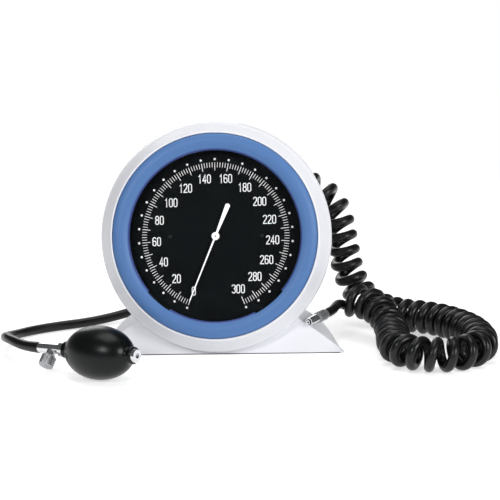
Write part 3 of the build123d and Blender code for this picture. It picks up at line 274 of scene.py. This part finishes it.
movement_brass = metal("movement_brass", "dcbc72", "b08a45", 0.2, 0.4, 1500)
ground_steel = metal("ground_steel", "c9ccd0", "a2a5aa", 0.14, 0.3, 2400)
paint(
    movement_brass, "front_plate", "back_plate", "movement_pillars", "cover_posts", "dial_posts",
    "rocker_bracket", "sector_gear", "spring_stud",
)
paint(ground_steel, "sector_shaft", "rocking_shaft", "pinion_arbor", "capsule_stud")

# Capsule, its pipes and the hairspring: thin bronze, redder than the brass. The capsule's halves and
# the pipes are soft-soldered and heat-tinted there; the spring is rolled and bright.
capsule_bronze = metal("capsule_bronze", "c98f5c", "8f5d3a", 0.22, 0.42, 900)
spring_bronze = metal("spring_bronze", "c2854c", "9a5f35", 0.18, 0.3, 3000)
paint(capsule_bronze, "capsule", "pressure_pipes")
paint(spring_bronze, "hairspring")

# Dial: a disc of black lacquered metal, matt, with a faint orange-peel in the lacquer, on posts of the
# movement. A black ring keeps it off the window, and two blackened screws hold it.
DIAL_TOP = 12 * mm
dial_black = moulded(
    "dial_black", "080c0e", "050809", 0.6, 0.5, 2600, 0.001 * mm, Specular_IOR_Level=0.03
)[0]
paint(dial_black, "dial_plate")
spacer_black = moulded(
    "spacer_black", "08090a", "050506", 0.7, 0.6, 2200, 0.02 * mm, Specular_IOR_Level=0.2
)[0]
paint(spacer_black, "dial_spacer", "lens_gasket")
screw_black = metal("screw_black", "2a2c30", "1b1c1f", 0.3, 0.5, 2400)
paint(screw_black, "dial_screws")

# Print on the dial: a scale from 0 to 300 in steps of 2, a dot at every 10 and a number at every 20.
# Screen-printed in white ink that stands a few hundredths of a millimetre proud.
INK_T = 0.05 * mm
SCALE_MAX = 300
SCALE_SWEEP = radians(315)
TICK_OUT, TICK_SHORT, TICK_LONG = 63.8, 59.5, 56.8
DOT_AT, DOT_R = 66.6, 0.95
DIGIT_W, DIGIT_H, DIGIT_GAP, STROKE = 3.45, 7.8, 0.5, 0.78
NUMBER_AT = 55.3
TICK_THIN, TICK_WIDE = 0.42, 0.5
DOT_SIDES = 24


def on_dial(x, v, lift=0.0):
    """The point x across and v up from the dial's middle, in millimetres, lift metres above its face."""
    across = Vector((1, 0, 0)) * x * mm
    return DIAL_CENTRE + across + DIAL_UP * v * mm + DIAL_OUT * (DIAL_TOP + lift)


def ribbon(mesh, line, width, closed=False):
    """A printed stroke of even width that follows a line of points, as a thin closed solid."""
    count = len(line)
    sides = []
    for i, (x, v) in enumerate(line):
        before = line[i - 1] if closed or i else (2 * x - line[1][0], 2 * v - line[1][1])
        after = line[(i + 1) % count] if closed or i < count - 1 else (2 * x - before[0], 2 * v - before[1])
        a = hypot(x - before[0], v - before[1])
        b = hypot(after[0] - x, after[1] - v)
        ax, av = (x - before[0]) / a, (v - before[1]) / a
        bx, bv = (after[0] - x) / b, (after[1] - v) / b
        nx, nv = -(av + bv), ax + bx
        length = hypot(nx, nv)
        reach = width / length / max(0.45, (nx * -av + nv * ax) / length)
        sides.append(((x + nx * reach / 2, v + nv * reach / 2), (x - nx * reach / 2, v - nv * reach / 2)))
    rings = []
    for a, b in sides:
        corners = ((a, INK_T), (b, INK_T), (b, -INK_T), (a, -INK_T))
        rings.append([mesh.verts.new(on_dial(*edge, lift)) for edge, lift in corners])
    spans = zip(rings, rings[1:] + rings[:1]) if closed else zip(rings, rings[1:])
    for one, two in spans:
        for k in range(4):
            mesh.faces.new((one[k], two[k], two[(k + 1) % 4], one[(k + 1) % 4]))
    if not closed:
        mesh.faces.new(rings[0])
        mesh.faces.new(rings[-1][::-1])


def piece_of(mesh, name, material, body, smooth=False):
    """A finished mesh as a piece with its finish, riding on a body."""
    bmesh.ops.recalc_face_normals(mesh, faces=mesh.faces[:])
    data = bpy.data.meshes.new(name)
    mesh.to_mesh(data)
    mesh.free()
    data.materials.append(material)
    for face in data.polygons:
        face.use_smooth = smooth
    piece = bpy.data.objects.new(name, data)
    bpy.context.scene.collection.objects.link(piece)
    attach(piece, body)
    return piece


def arc(x, v, rx, rv, start, end, steps=10):
    """Points on an ellipse's arc, from one angle to another in degrees."""
    turns = [radians(start + (end - start) * i / steps) for i in range(steps + 1)]
    return [(x + rx * cos(t), v + rv * sin(t)) for t in turns]


# Centrelines of the digits, narrow and upright; w and h are the width and height between centrelines
w, h = DIGIT_W - STROKE, DIGIT_H - STROKE
half, waist = w / 2, h * 0.54
DIGITS = {
    "0": [(arc(half, h - half, half, half, 0, 180) + arc(half, half, half, half, 180, 360), True)],
    "1": [
        ([(half * 0.25, h - 1.55), (half * 0.8, h - 1.2), (half * 1.2, h + 0.02), (half * 1.2, -STROKE / 2)],
         False),
    ],
    "2": [(
        arc(half, h - half, half, half, 190, 0)
        + [(w * 0.97, h * 0.66), (w * 0.8, h * 0.5), (w * 0.14, h * 0.17), (0, 0), (w + STROKE / 2, 0)],
        False,
    )],
    "3": [
        (arc(half, h - half, half, half, 175, 0)
         + arc(half, waist + half * 0.95, half, half * 0.95, 0, -90), False),
        (arc(half, waist - half, half, half, 90, 0) + arc(half, half, half, half, 0, -175), False),
    ],
    "4": [
        ([(w * 0.74, -STROKE / 2), (w * 0.74, h + 0.1), (-0.05, h * 0.27), (w + STROKE / 2, h * 0.27)],
         False),
    ],
    "6": [
        (arc(half, waist + 0.25 - half, half, half, 0, 180) + arc(half, half, half, half, 180, 360), True),
        (arc(half, h - half, half, half, 10, 180) + [(0, half * 1.4)], False),
    ],
    "8": [
        (arc(half, waist - half, half, half, 0, 180) + arc(half, half, half, half, 180, 360), True),
        (arc(half, h - half * 0.92, half * 0.92, half * 0.92, 0, 180)
         + arc(half, waist + half * 0.92, half * 0.92, half * 0.92, 180, 360), True),
    ],
}

ink_white, tree, shader = new_finish("ink_white", Specular_IOR_Level=0.3)
skin = use(tree, moulded_skin, Grain=3000, Patch=60)
feed(
    tree, shader,
    Base_Color=mixed(tree, skin["Clouds"], rgb("c9ccce"), rgb("e2e4e4")),
    Roughness=ranged(tree, skin["Pits"], 0.3, 0.7, 0.5, 0.7),
    Normal=bumped(tree, skin["Pits"], 0.01 * mm),
)

ticks = bmesh.new()
for value in range(0, SCALE_MAX + 1, 2):
    turn = SCALE_SWEEP * (value / SCALE_MAX - 0.5)
    long_one = value % 10 == 0
    inner = TICK_LONG if long_one else TICK_SHORT
    ends = [(r * sin(turn), r * cos(turn)) for r in (inner, TICK_OUT)]
    ribbon(ticks, ends, TICK_WIDE if long_one else TICK_THIN)
scale_ticks = piece_of(ticks, "scale_ticks", ink_white, "gauge")

dots = bmesh.new()
for value in range(0, SCALE_MAX + 1, 10):
    turn = SCALE_SWEEP * (value / SCALE_MAX - 0.5)
    rim = [
        (DOT_AT * sin(turn) + DOT_R * cos(a), DOT_AT * cos(turn) + DOT_R * sin(a))
        for a in [tau * i / DOT_SIDES for i in range(DOT_SIDES)]
    ]
    faces = [[dots.verts.new(on_dial(*p, lift)) for p in rim] for lift in (INK_T, -INK_T)]
    dots.faces.new(faces[0])
    dots.faces.new(faces[1][::-1])
    for i in range(DOT_SIDES):
        k = (i + 1) % DOT_SIDES
        dots.faces.new((faces[0][i], faces[0][k], faces[1][k], faces[1][i]))
scale_dots = piece_of(dots, "scale_dots", ink_white, "gauge")

numbers = bmesh.new()
for value in range(0, SCALE_MAX + 1, 20):
    text = str(value)
    turn = SCALE_SWEEP * (value / SCALE_MAX - 0.5)
    wide = len(text) * DIGIT_W + (len(text) - 1) * DIGIT_GAP
    reach = NUMBER_AT - wide / 2 * abs(sin(turn)) - DIGIT_H / 2 * abs(cos(turn))
    left, foot = reach * sin(turn) - wide / 2 + STROKE / 2, reach * cos(turn) - DIGIT_H / 2 + STROKE / 2
    for i, digit in enumerate(text):
        for line, closed in DIGITS[digit]:
            start = left + i * (DIGIT_W + DIGIT_GAP)
            ribbon(numbers, [(start + x, foot + v) for x, v in line], STROKE, closed)
scale_numbers = piece_of(numbers, "scale_numbers", ink_white, "gauge")

# Pointer: stamped from thin aluminium and lacquered white, with a broad counterweight behind its boss.
# It is pressed on the arbor's tip.
pointer_white = moulded("pointer_white", "f2f3f3", "e6e8e8", 0.45, 0.35, 3200, 0.01 * mm)[0]
paint(pointer_white, "pointer")

# Window: a clear acrylic disc, held against its gasket by the blue ring and coated, so that it mirrors
# little. A glass shader lets light through to the dial, and shadow rays pass it as if it weren't there.


def show(tree, surface):
    """Makes a shader the material's surface."""
    for output in [n for n in tree.nodes if n.type == "OUTPUT_MATERIAL"]:
        tree.links.new(surface, output.inputs["Surface"])


lens_clear, tree, shader = new_finish(
    "lens_clear", Transmission_Weight=1.0, IOR=1.15, Roughness=0.0, Specular_IOR_Level=0.05
)
smears = use(tree, moulded_skin, Grain=1200, Patch=9)
feed(tree, shader, Base_Color=mixed(tree, smears["Rubbed"], (1, 1, 1, 1), (0.985, 0.99, 0.99, 1)))
passing = add_node(tree, "ShaderNodeBsdfTransparent")
shadow = add_node(tree, "ShaderNodeLightPath").outputs["Is Shadow Ray"]
either = add_node(tree, "ShaderNodeMixShader", {0: shadow, 1: shader.outputs[0], 2: passing.outputs[0]})
show(tree, either.outputs[0])
paint(lens_clear, "lens")

# Blue ring: satin polycarbonate that twists into the case and holds the window. Its inner lip, beside the
# window, carries a darker, purplish painted shade, and its crown is rubbed.
LIP_SHADE_FROM, LIP_SHADE_TO = 74.2 * mm, 75.6 * mm
bezel_blue, tree, shader, skin = moulded(
    "bezel_blue", "567eb6", "4f76ad", 0.44, 0.36, 2800, 0.02 * mm, Specular_IOR_Level=0.3
)
place = use(tree, dial_place)
# Painted shade: the ring's colour darkens towards 3f4f8c at its inner lip, where it meets the window
lip_shade = ranged(tree, place["Radius"], LIP_SHADE_FROM, LIP_SHADE_TO, 1, 0)
blue = shader.inputs["Base Color"].links[0].from_socket
feed(tree, shader, Base_Color=mixed(tree, lip_shade, blue, rgb("3f4f8c")))
paint(bezel_blue, "bezel_ring")

# Outlets, release valve, intake valve and luer connector: turned brass, chromium-plated. Bright, with
# hairline scratches and a faint haze of fingerprints.
chrome, tree, shader = new_finish("chrome", Metallic=1.0)
marks = use(tree, brushed, Lines=2600)
skin = use(tree, moulded_skin, Grain=2600, Patch=90)
feed(
    tree, shader,
    Base_Color=mixed(tree, skin["Clouds"], rgb("c4c5c8"), rgb("dedfe1")),
    Roughness=ranged(tree, skin["Rubbed"], 0, 1, 0.09, 0.2),
    Normal=bumped(tree, marks["Streaks"], 0.0015 * mm),
)
paint(
    chrome, "coil_outlet", "bulb_outlet", "valve_body", "valve_spindle", "intake_valve", "intake_ball",
    "intake_retainer", "luer_core", "luer_tip",
)

# The knob and the connector's ring are rolled with a diamond knurl, with painted shade in its grooves, so
# they are greyer than the rest.
# A point on each one's axis and the way of the axis say where its grooves run.
KNURL_SLANT = 2600
KNURL_DEPTH = 0.12 * mm
KNOB_MIDDLE = Vector((-137.54, -90.79, 18.84)) * mm
KNOB_WAY = Vector((-0.328, -0.629, -0.705)).normalized()
LUER_AT = Vector((93.5, -31, 29.9)) * mm
LUER_WAY = Vector((-0.586, -0.807, -0.072)).normalized()


def knurled(name, middle, way, rows):
    """Chrome with a diamond knurl about a line, with painted shade in its grooves; rows is the number of
    grooves round it each way.
    """
    material, tree, shader = new_finish(name, Metallic=1.0)
    side = way.cross(Vector((0, 0, 1))).normalized()
    up = side.cross(way)
    where = add_node(tree, "ShaderNodeTexCoord").outputs["Object"]
    from_middle = vector_node(tree, "SUBTRACT", where, tuple(middle))[0]
    along, across, over = [
        vector_node(tree, "DOT_PRODUCT", from_middle, tuple(axis))["Value"] for axis in (way, side, up)
    ]
    turned = math_node(tree, "MULTIPLY", math_node(tree, "ARCTAN2", over, across), rows)
    shifted = math_node(tree, "MULTIPLY", along, KNURL_SLANT)
    left_cut = math_node(tree, "SINE", math_node(tree, "ADD", turned, shifted))
    right_cut = math_node(tree, "SINE", math_node(tree, "SUBTRACT", turned, shifted))
    relief_and_groove_shade = math_node(tree, "MAXIMUM", left_cut, right_cut)
    skin = use(tree, moulded_skin, Grain=2600, Patch=120)
    # Painted shade: the colour runs from c9cacd on the knurl's ridges to 6e6f72 in its grooves, following
    # the relief
    feed(
        tree, shader,
        Base_Color=mixed(tree, ranged(tree, relief_and_groove_shade, -0.6, 0.9, 0, 1), rgb("6e6f72"), rgb("c9cacd")),
        Roughness=ranged(tree, skin["Clouds"], 0.3, 0.7, 0.3, 0.45),
        Normal=bumped(tree, relief_and_groove_shade, KNURL_DEPTH),
    )
    return material


paint(knurled("knurled_knob", KNOB_MIDDLE, KNOB_WAY, 16), "valve_knob")
paint(knurled("knurled_ring", LUER_AT, LUER_WAY, 14), "luer_ring")

# Bulb: a dip-moulded rubber squeeze ball with a short collar at each end, black, with the soft sheen of
# handled rubber. The collars are drawn tight over the valves.
BULB_CENTRE = Vector((-94, -118, 22.881)) * mm
BULB_TURN, BULB_TILT = radians(-32), radians(4.5)
BULB_WAY = Vector((cos(BULB_TURN) * cos(BULB_TILT), sin(BULB_TURN) * cos(BULB_TILT), sin(BULB_TILT)))
BULB_HALF, BULB_R, BULB_WALL = 33.5, 22.8, 2.5
BULB_SIDES = 96
COLLAR_FROM = 29.6


def turned_piece(outline, start, way, steps, name, material, body):
    """A smooth closed solid turned about a line; the outline is (distance, radius) in millimetres."""
    mesh = bmesh.new()
    side = way.cross(Vector((0, 0, 1))).normalized()
    up = side.cross(way)
    rings = []
    for along, radius in outline:
        middle = start + way * along * mm
        turns = [tau * i / steps for i in range(steps)]
        rings.append([mesh.verts.new(middle + (side * cos(t) + up * sin(t)) * radius * mm) for t in turns])
    for one, two in zip(rings, rings[1:] + rings[:1]):
        for i in range(steps):
            k = (i + 1) % steps
            mesh.faces.new((one[i], one[k], two[k], two[i]))
    return piece_of(mesh, name, material, body, smooth=True)


outside = [(-BULB_HALF * cos(a), BULB_R * sin(a)) for a in [radians(t) for t in range(24, 157, 3)]]
collar = [
    (30.1, 9.8), (30.8, 8.7), (31.5, 7.8), (32.3, 7.2), (33.2, 7.0),
    (35.6, 7.05), (36.5, 7.3), (37.1, 7.2), (37.5, 6.6),
]
middle_part = [p for p in outside if abs(p[0]) < COLLAR_FROM]
bore = [(37.5, 4.6), (37.3, 4.5), (34.0, 4.5), (31.2, 4.5), (29.8, 5.2)]
hollow = [((BULB_HALF - BULB_WALL) * cos(a), (BULB_R - BULB_WALL) * sin(a))
          for a in [radians(t) for t in range(18, 163, 6)]]
outline = [(-d, r) for d, r in collar[::-1]] + middle_part + collar + bore + hollow
outline += [(-d, r) for d, r in bore[::-1]]

# Dust that settles where a surface faces up
settled_dust, given, result = effect("settled_dust", {"Amount": 0.2}, ("Mask",))
facing = add_node(settled_dust, "ShaderNodeNewGeometry").outputs["Normal"]
up_share = add_node(settled_dust, "ShaderNodeSeparateXYZ", {0: facing}).outputs["Z"]
where = add_node(settled_dust, "ShaderNodeTexCoord").outputs["Object"]
specks = add_node(
    settled_dust, "ShaderNodeTexNoise", {"Vector": where, "Scale": 900.0, "Detail": 5.0, "Roughness": 0.75}
)
lying = ranged(settled_dust, up_share, 0.35, 1.0, 0, 1)
patchy = ranged(settled_dust, specks.outputs[0], 0.42, 0.7, 0, 1)
dusty = math_node(settled_dust, "MULTIPLY", lying, patchy)
mask = math_node(settled_dust, "MULTIPLY", dusty, given.outputs["Amount"])
settled_dust.links.new(mask, result.inputs["Mask"])

bulb_black, tree, shader = new_finish("bulb_black", Specular_IOR_Level=0.24)
skin = use(tree, moulded_skin, Grain=900, Patch=45)
dust = use(tree, settled_dust, Amount=0.04)
rubber = mixed(tree, skin["Clouds"], rgb("040607"), rgb("0a0d0e"))
feed(
    tree, shader,
    Base_Color=mixed(tree, dust["Mask"], rubber, rgb("6a6a68")),
    Roughness=ranged(tree, skin["Clouds"], 0.3, 0.7, 0.27, 0.32),
    Normal=bumped(tree, skin["Pits"], 0.01 * mm),
)
bulb = turned_piece(outline, BULB_CENTRE, BULB_WAY, BULB_SIDES, "squeeze_bulb", bulb_black, "gauge")
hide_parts("bulb")

# Plain hose: extruded black rubber, 8.5 mm thick. It leaves the rear cover, drops to the desk, and
# loops round to the release valve, whose barb stretches its last centimetre.
HOSE_D = 8.5 * mm
OUTLET_END = -50.0
BULB_OUTLET = (-50, -38)
VALVE_TAIL = 66.5
BARB_STRETCH = (1.02, 1.16)


def in_dial(x, v, w):
    """The point x across, v up and w out of the dial's frame, in metres from millimetres."""
    return DIAL_CENTRE + (Vector((x, 0, 0)) + DIAL_UP * v + DIAL_OUT * w) * mm


def hose_curve(name, points, depth, steps):
    """A smooth curve with those points as its control points."""
    curve = bpy.data.curves.new(name, "CURVE")
    curve.dimensions = "3D"
    line = curve.splines.new("NURBS")
    line.points.add(len(points) - 1)
    for control, place in zip(line.points, points):
        control.co = (*place, 1)
    line.order_u = 3
    line.use_endpoint_u = True
    line.resolution_u = steps
    curve.resolution_u = steps
    curve.bevel_depth = depth
    curve.bevel_resolution = 6
    curve.use_fill_caps = depth > 0
    hose = bpy.data.objects.new(name, curve)
    bpy.context.scene.collection.objects.link(hose)
    return hose


hose_black, tree, shader = new_finish("hose_black", Specular_IOR_Level=0.34)
skin = use(tree, moulded_skin, Grain=1300, Patch=70)
dust = use(tree, settled_dust, Amount=0.03)
rubber = mixed(tree, skin["Clouds"], rgb("060707"), rgb("0c0d0e"))
feed(
    tree, shader,
    Base_Color=mixed(tree, dust["Mask"], rubber, rgb("686866")),
    Roughness=ranged(tree, skin["Clouds"], 0.3, 0.7, 0.27, 0.4),
    Normal=bumped(tree, skin["Pits"], 0.015 * mm),
)

bulb_tail = BULB_CENTRE - BULB_WAY * VALVE_TAIL * mm
bulb_hose_way = [in_dial(*BULB_OUTLET, OUTLET_END), in_dial(*BULB_OUTLET, OUTLET_END - 17)]
bulb_hose_way += [
    Vector(p) * mm
    for p in (
        (-52, 46, 36), (-61, 57.5, 22.5), (-79, 60.5, 12), (-102, 54, 6.5), (-127, 42, 4.4),
        (-152, 31, 4.4), (-172, 19, 4.4), (-186, 2, 5.4), (-190.5, -19, 9.5), (-188.5, -40, 15),
        (-180.5, -58, 18.5),
    )
]
bulb_hose_way += [bulb_tail - BULB_WAY * 18 * mm, bulb_tail]
plain_hose = hose_curve("plain_hose", bulb_hose_way, HOSE_D / 2, 12)
for control, stretch in zip(plain_hose.data.splines[0].points[-2:], BARB_STRETCH):
    control.radius = stretch
plain_hose.data.materials.append(hose_black)
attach(plain_hose, "gauge")
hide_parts("bulb_hose")

# Curly hose: the same rubber wound hot into left-hand curls 30 mm across. It hangs from the rear cover,
# lies in a hairpin on the desk, and its straight end comes back to the luer connector.
CURL_R = 10.75 * mm
CURL_STEPS = 16
COIL_OUTLET = (36, 60)
# The hose's spline cuts inside its control points, so they stand further out than its centreline
CURL_SHRINK = 0.981
CURL_SPINE = [in_dial(COIL_OUTLET[0], COIL_OUTLET[1] - CURL_R / mm, -58.5)] + [
    Vector(p) * mm
    for p in (
        (78, 43.5, 131), (102, 43, 112.5), (107.8, 43, 82), (111.6, 42.5, 56), (118.5, 41, 35),
        (134, 32.5, 19.5), (156, 17.5, 15.2), (178, 8.5, 15.2), (200, -7.5, 15.2), (218.5, -35, 15.2),
        (225.5, -61, 15.2), (225.5, -85, 15.2), (211.5, -104.4, 15.2), (188.7, -111.7, 15.2),
        (166, -104.4, 15.2), (152, -85, 15.2), (151.3, -63, 15.2), (151.4, -47, 15.6),
        (150.3, -35.5, 17.2), (147.6, -25, 21.2), (141.8, -15.5, 27), (134.2, -6, 30.4),
        (124.2, 1.2, 32.2), (112, 5, 33),
    )
]
# Tables along the spine: each row is a distance from its start in millimetres, and the value there.
# The curls' pitch and how much wider they are, in millimetres, and how far they lean, in degrees
CURL_PITCH = (
    (0, 15.4), (60, 15.4), (75, 13.6), (180, 13.6), (205, 11.4), (290, 11.4), (325, 13.8), (435, 13.8),
    (450, 12.1), (466, 12.1), (478, 13.3), (700, 13.3),
)
CURL_WIDER = ((0, 0), (490, 0), (515, 0.5), (700, 0.5))
CURL_ASKEW = ((0, 0), (50, 0), (70, -14), (135, -12), (152, -2), (168, 6), (190, 0), (700, 0))


def value_at(table, distance):
    """The value of a table at a distance along the spine."""
    for (near, near_value), (far, far_value) in zip(table, table[1:]):
        if distance / mm <= far:
            return near_value + (far_value - near_value) * (distance / mm - near) / (far - near)
    return table[-1][1]


spine = hose_curve("curl_spine", CURL_SPINE, 0, 40)
spine_mesh = bpy.data.meshes.new_from_object(spine)
spine_line = [v.co.copy() for v in spine_mesh.vertices]
spine_runs = [(b - a).length for a, b in zip(spine_line, spine_line[1:])]
bpy.data.objects.remove(spine)
bpy.data.meshes.remove(spine_mesh)
# The curls follow the spine; radial is carried along it without twist, so that they turn evenly
curls = []
radial, angle, distance = DIAL_UP.copy(), 0.0, 0.0
run, run_start = 0, 0.0
while distance < sum(spine_runs):
    while run < len(spine_runs) - 1 and distance > run_start + spine_runs[run]:
        run_start += spine_runs[run]
        run += 1
    a, b = spine_line[run], spine_line[run + 1]
    middle = a.lerp(b, (distance - run_start) / spine_runs[run])
    way = Matrix.Rotation(radians(value_at(CURL_ASKEW, distance)), 3, "Y") @ (b - a).normalized()
    radial = (radial - way * radial.dot(way)).normalized()
    side = way.cross(radial)
    control_r = (CURL_R + value_at(CURL_WIDER, distance) * mm) / CURL_SHRINK
    curls.append(middle + (radial * cos(angle) + side * sin(angle)) * control_r)
    distance += value_at(CURL_PITCH, distance) * mm / CURL_STEPS
    angle -= tau / CURL_STEPS
# The straight end starts where the last curl is lowest
lowest = min(range(len(curls) - CURL_STEPS - 2, len(curls) - 2), key=lambda i: curls[i].z)
curl_way = [in_dial(*COIL_OUTLET, OUTLET_END), curls[0] + DIAL_OUT * 3 * mm] + curls[:lowest + 1]
straight_end = ((117.0, 13.6, 22.6), (105.2, 13.6, 27.0), (102.4, 0, 28.9), (100.8, -14, 30.2))
curl_way += [Vector(p) * mm for p in straight_end] + [LUER_AT - LUER_WAY * 9 * mm, LUER_AT]
curly_hose = hose_curve("curly_hose", curl_way, HOSE_D / 2, 3)
curly_hose.data.materials.append(hose_black)
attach(curly_hose, "gauge")
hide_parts("coil_hose")

# Studio: a plain white floor that keeps the gauge's shadow, soft lights, and the photograph's camera.
# The floor and the air look white to the camera, through the window and in the chrome, by their own
# glow and not by more light on the gauge.
WHITE = (1, 1, 1, 1)
FLOOR_GLOW = 0.55
FADE_FROM, FADE_TO = 0.3, 0.8
FLOOR_HALF = 7.0
floor_white, tree, shader = new_finish("floor_white", Specular_IOR_Level=0.1)
grain = use(tree, moulded_skin, Grain=300, Patch=3)
feed(
    tree, shader,
    Base_Color=mixed(tree, grain["Clouds"], rgb("e9e9ea"), rgb("eeeeee")),
    Roughness=ranged(tree, grain["Clouds"], 0, 1, 0.8, 0.9),
)
path = add_node(tree, "ShaderNodeLightPath").outputs
seen = math_node(tree, "MAXIMUM", path["Is Camera Ray"], path["Is Glossy Ray"])
seen = math_node(tree, "MAXIMUM", seen, path["Is Transmission Ray"])
own_light = math_node(tree, "MULTIPLY", seen, FLOOR_GLOW)
glow = add_node(tree, "ShaderNodeEmission", {"Color": WHITE, "Strength": own_light})
both = add_node(tree, "ShaderNodeAddShader", {0: shader.outputs[0], 1: glow.outputs[0]})
where = add_node(tree, "ShaderNodeTexCoord").outputs["Object"]
distance_out = add_node(tree, "ShaderNodeVectorMath", {0: where}, operation="LENGTH").outputs["Value"]
far_out = math_node(tree, "MULTIPLY", ranged(tree, distance_out, FADE_FROM, FADE_TO, 0, 1), seen)
backdrop = add_node(tree, "ShaderNodeEmission", {"Color": WHITE, "Strength": 1.0})
sweep = add_node(tree, "ShaderNodeMixShader", {0: far_out, 1: both.outputs[0], 2: backdrop.outputs[0]})
show(tree, sweep.outputs[0])
ground = bmesh.new()
bmesh.ops.create_grid(ground, x_segments=8, y_segments=8, size=FLOOR_HALF)
floor_data = bpy.data.meshes.new("floor")
ground.to_mesh(floor_data)
ground.free()
floor_data.materials.append(floor_white)
floor = bpy.data.objects.new("floor", floor_data)
bpy.context.scene.collection.objects.link(floor)

# Air of the studio: mirrors see a white horizon under a dim ceiling in it, and its own light is weaker
# from the left.
world = bpy.data.worlds.new("studio_air")
bpy.context.scene.world = world
world.use_nodes = True
tree = world.node_tree
tree.nodes.clear()
path = add_node(tree, "ShaderNodeLightPath").outputs
seen = math_node(tree, "MAXIMUM", path["Is Camera Ray"], path["Is Transmission Ray"])
ray_way = add_node(tree, "ShaderNodeTexCoord").outputs["Generated"]
ray_way = add_node(tree, "ShaderNodeSeparateXYZ", {0: ray_way}).outputs
mirrored = ranged(tree, ray_way["Z"], 0.0, 0.12, 0.7, 0.12)
sideways = ranged(tree, ray_way["X"], -0.7, 0.7, 0.14, 0.38)
plain = add_node(tree, "ShaderNodeMix", {0: seen, 2: sideways, 3: 1.0}, data_type="FLOAT").outputs[0]
strength = add_node(
    tree, "ShaderNodeMix", {0: path["Is Glossy Ray"], 2: plain, 3: mirrored}, data_type="FLOAT"
).outputs[0]
air = add_node(tree, "ShaderNodeBackground", {"Color": WHITE, "Strength": strength})
add_node(tree, "ShaderNodeOutputWorld", {"Surface": air.outputs[0]})


def lamp(name, place, aim, size, power):
    """A rectangular soft light that points at aim."""
    data = bpy.data.lights.new(name, "AREA")
    data.shape = "RECTANGLE"
    data.size, data.size_y = size
    data.energy = power
    light = bpy.data.objects.new(name, data)
    light.location = place
    light.rotation_euler = (Vector(aim) - Vector(place)).to_track_quat("-Z", "Y").to_euler()
    bpy.context.scene.collection.objects.link(light)


lamp("key_light", (-0.76, -1.7, 1.12), (-0.09, -0.1, 0.02), (0.52, 0.42), 12)
lamp("main_light", (1.5, -1.4, 0.9), (-0.05, -0.1, 0.05), (0.8, 0.75), 22)
lamp("top_light", (-0.1, 0.1, 2.0), (0, 0, 0), (1.4, 1.2), 14)
lamp("rear_light", (-0.5, 1.9, 0.9), (0, 0, 0.08), (1.2, 1.0), 11)

CAMERA_AT = Vector((122.317, -1601.166, 464.857)) * mm
CAMERA_AIM = Vector((28.671, -26.643, 87.042)) * mm
CAMERA_ROLL = radians(1.645)
SENSOR = 36.0
FOCAL_PIXELS, PICTURE_PIXELS = 1865.0, 500.0
camera_data = bpy.data.cameras.new("camera")
camera_data.sensor_width = SENSOR
camera_data.lens = SENSOR * FOCAL_PIXELS / PICTURE_PIXELS
camera_data.clip_start = 0.05
camera_data.clip_end = 50
camera = bpy.data.objects.new("camera", camera_data)
looking = (CAMERA_AIM - CAMERA_AT).to_track_quat("-Z", "Y").to_matrix().to_4x4()
camera.matrix_world = Matrix.Translation(CAMERA_AT) @ looking @ Matrix.Rotation(-CAMERA_ROLL, 4, "Z")
bpy.context.scene.collection.objects.link(camera)
bpy.context.scene.camera = camera
bpy.context.scene.view_settings.view_transform = "Standard"
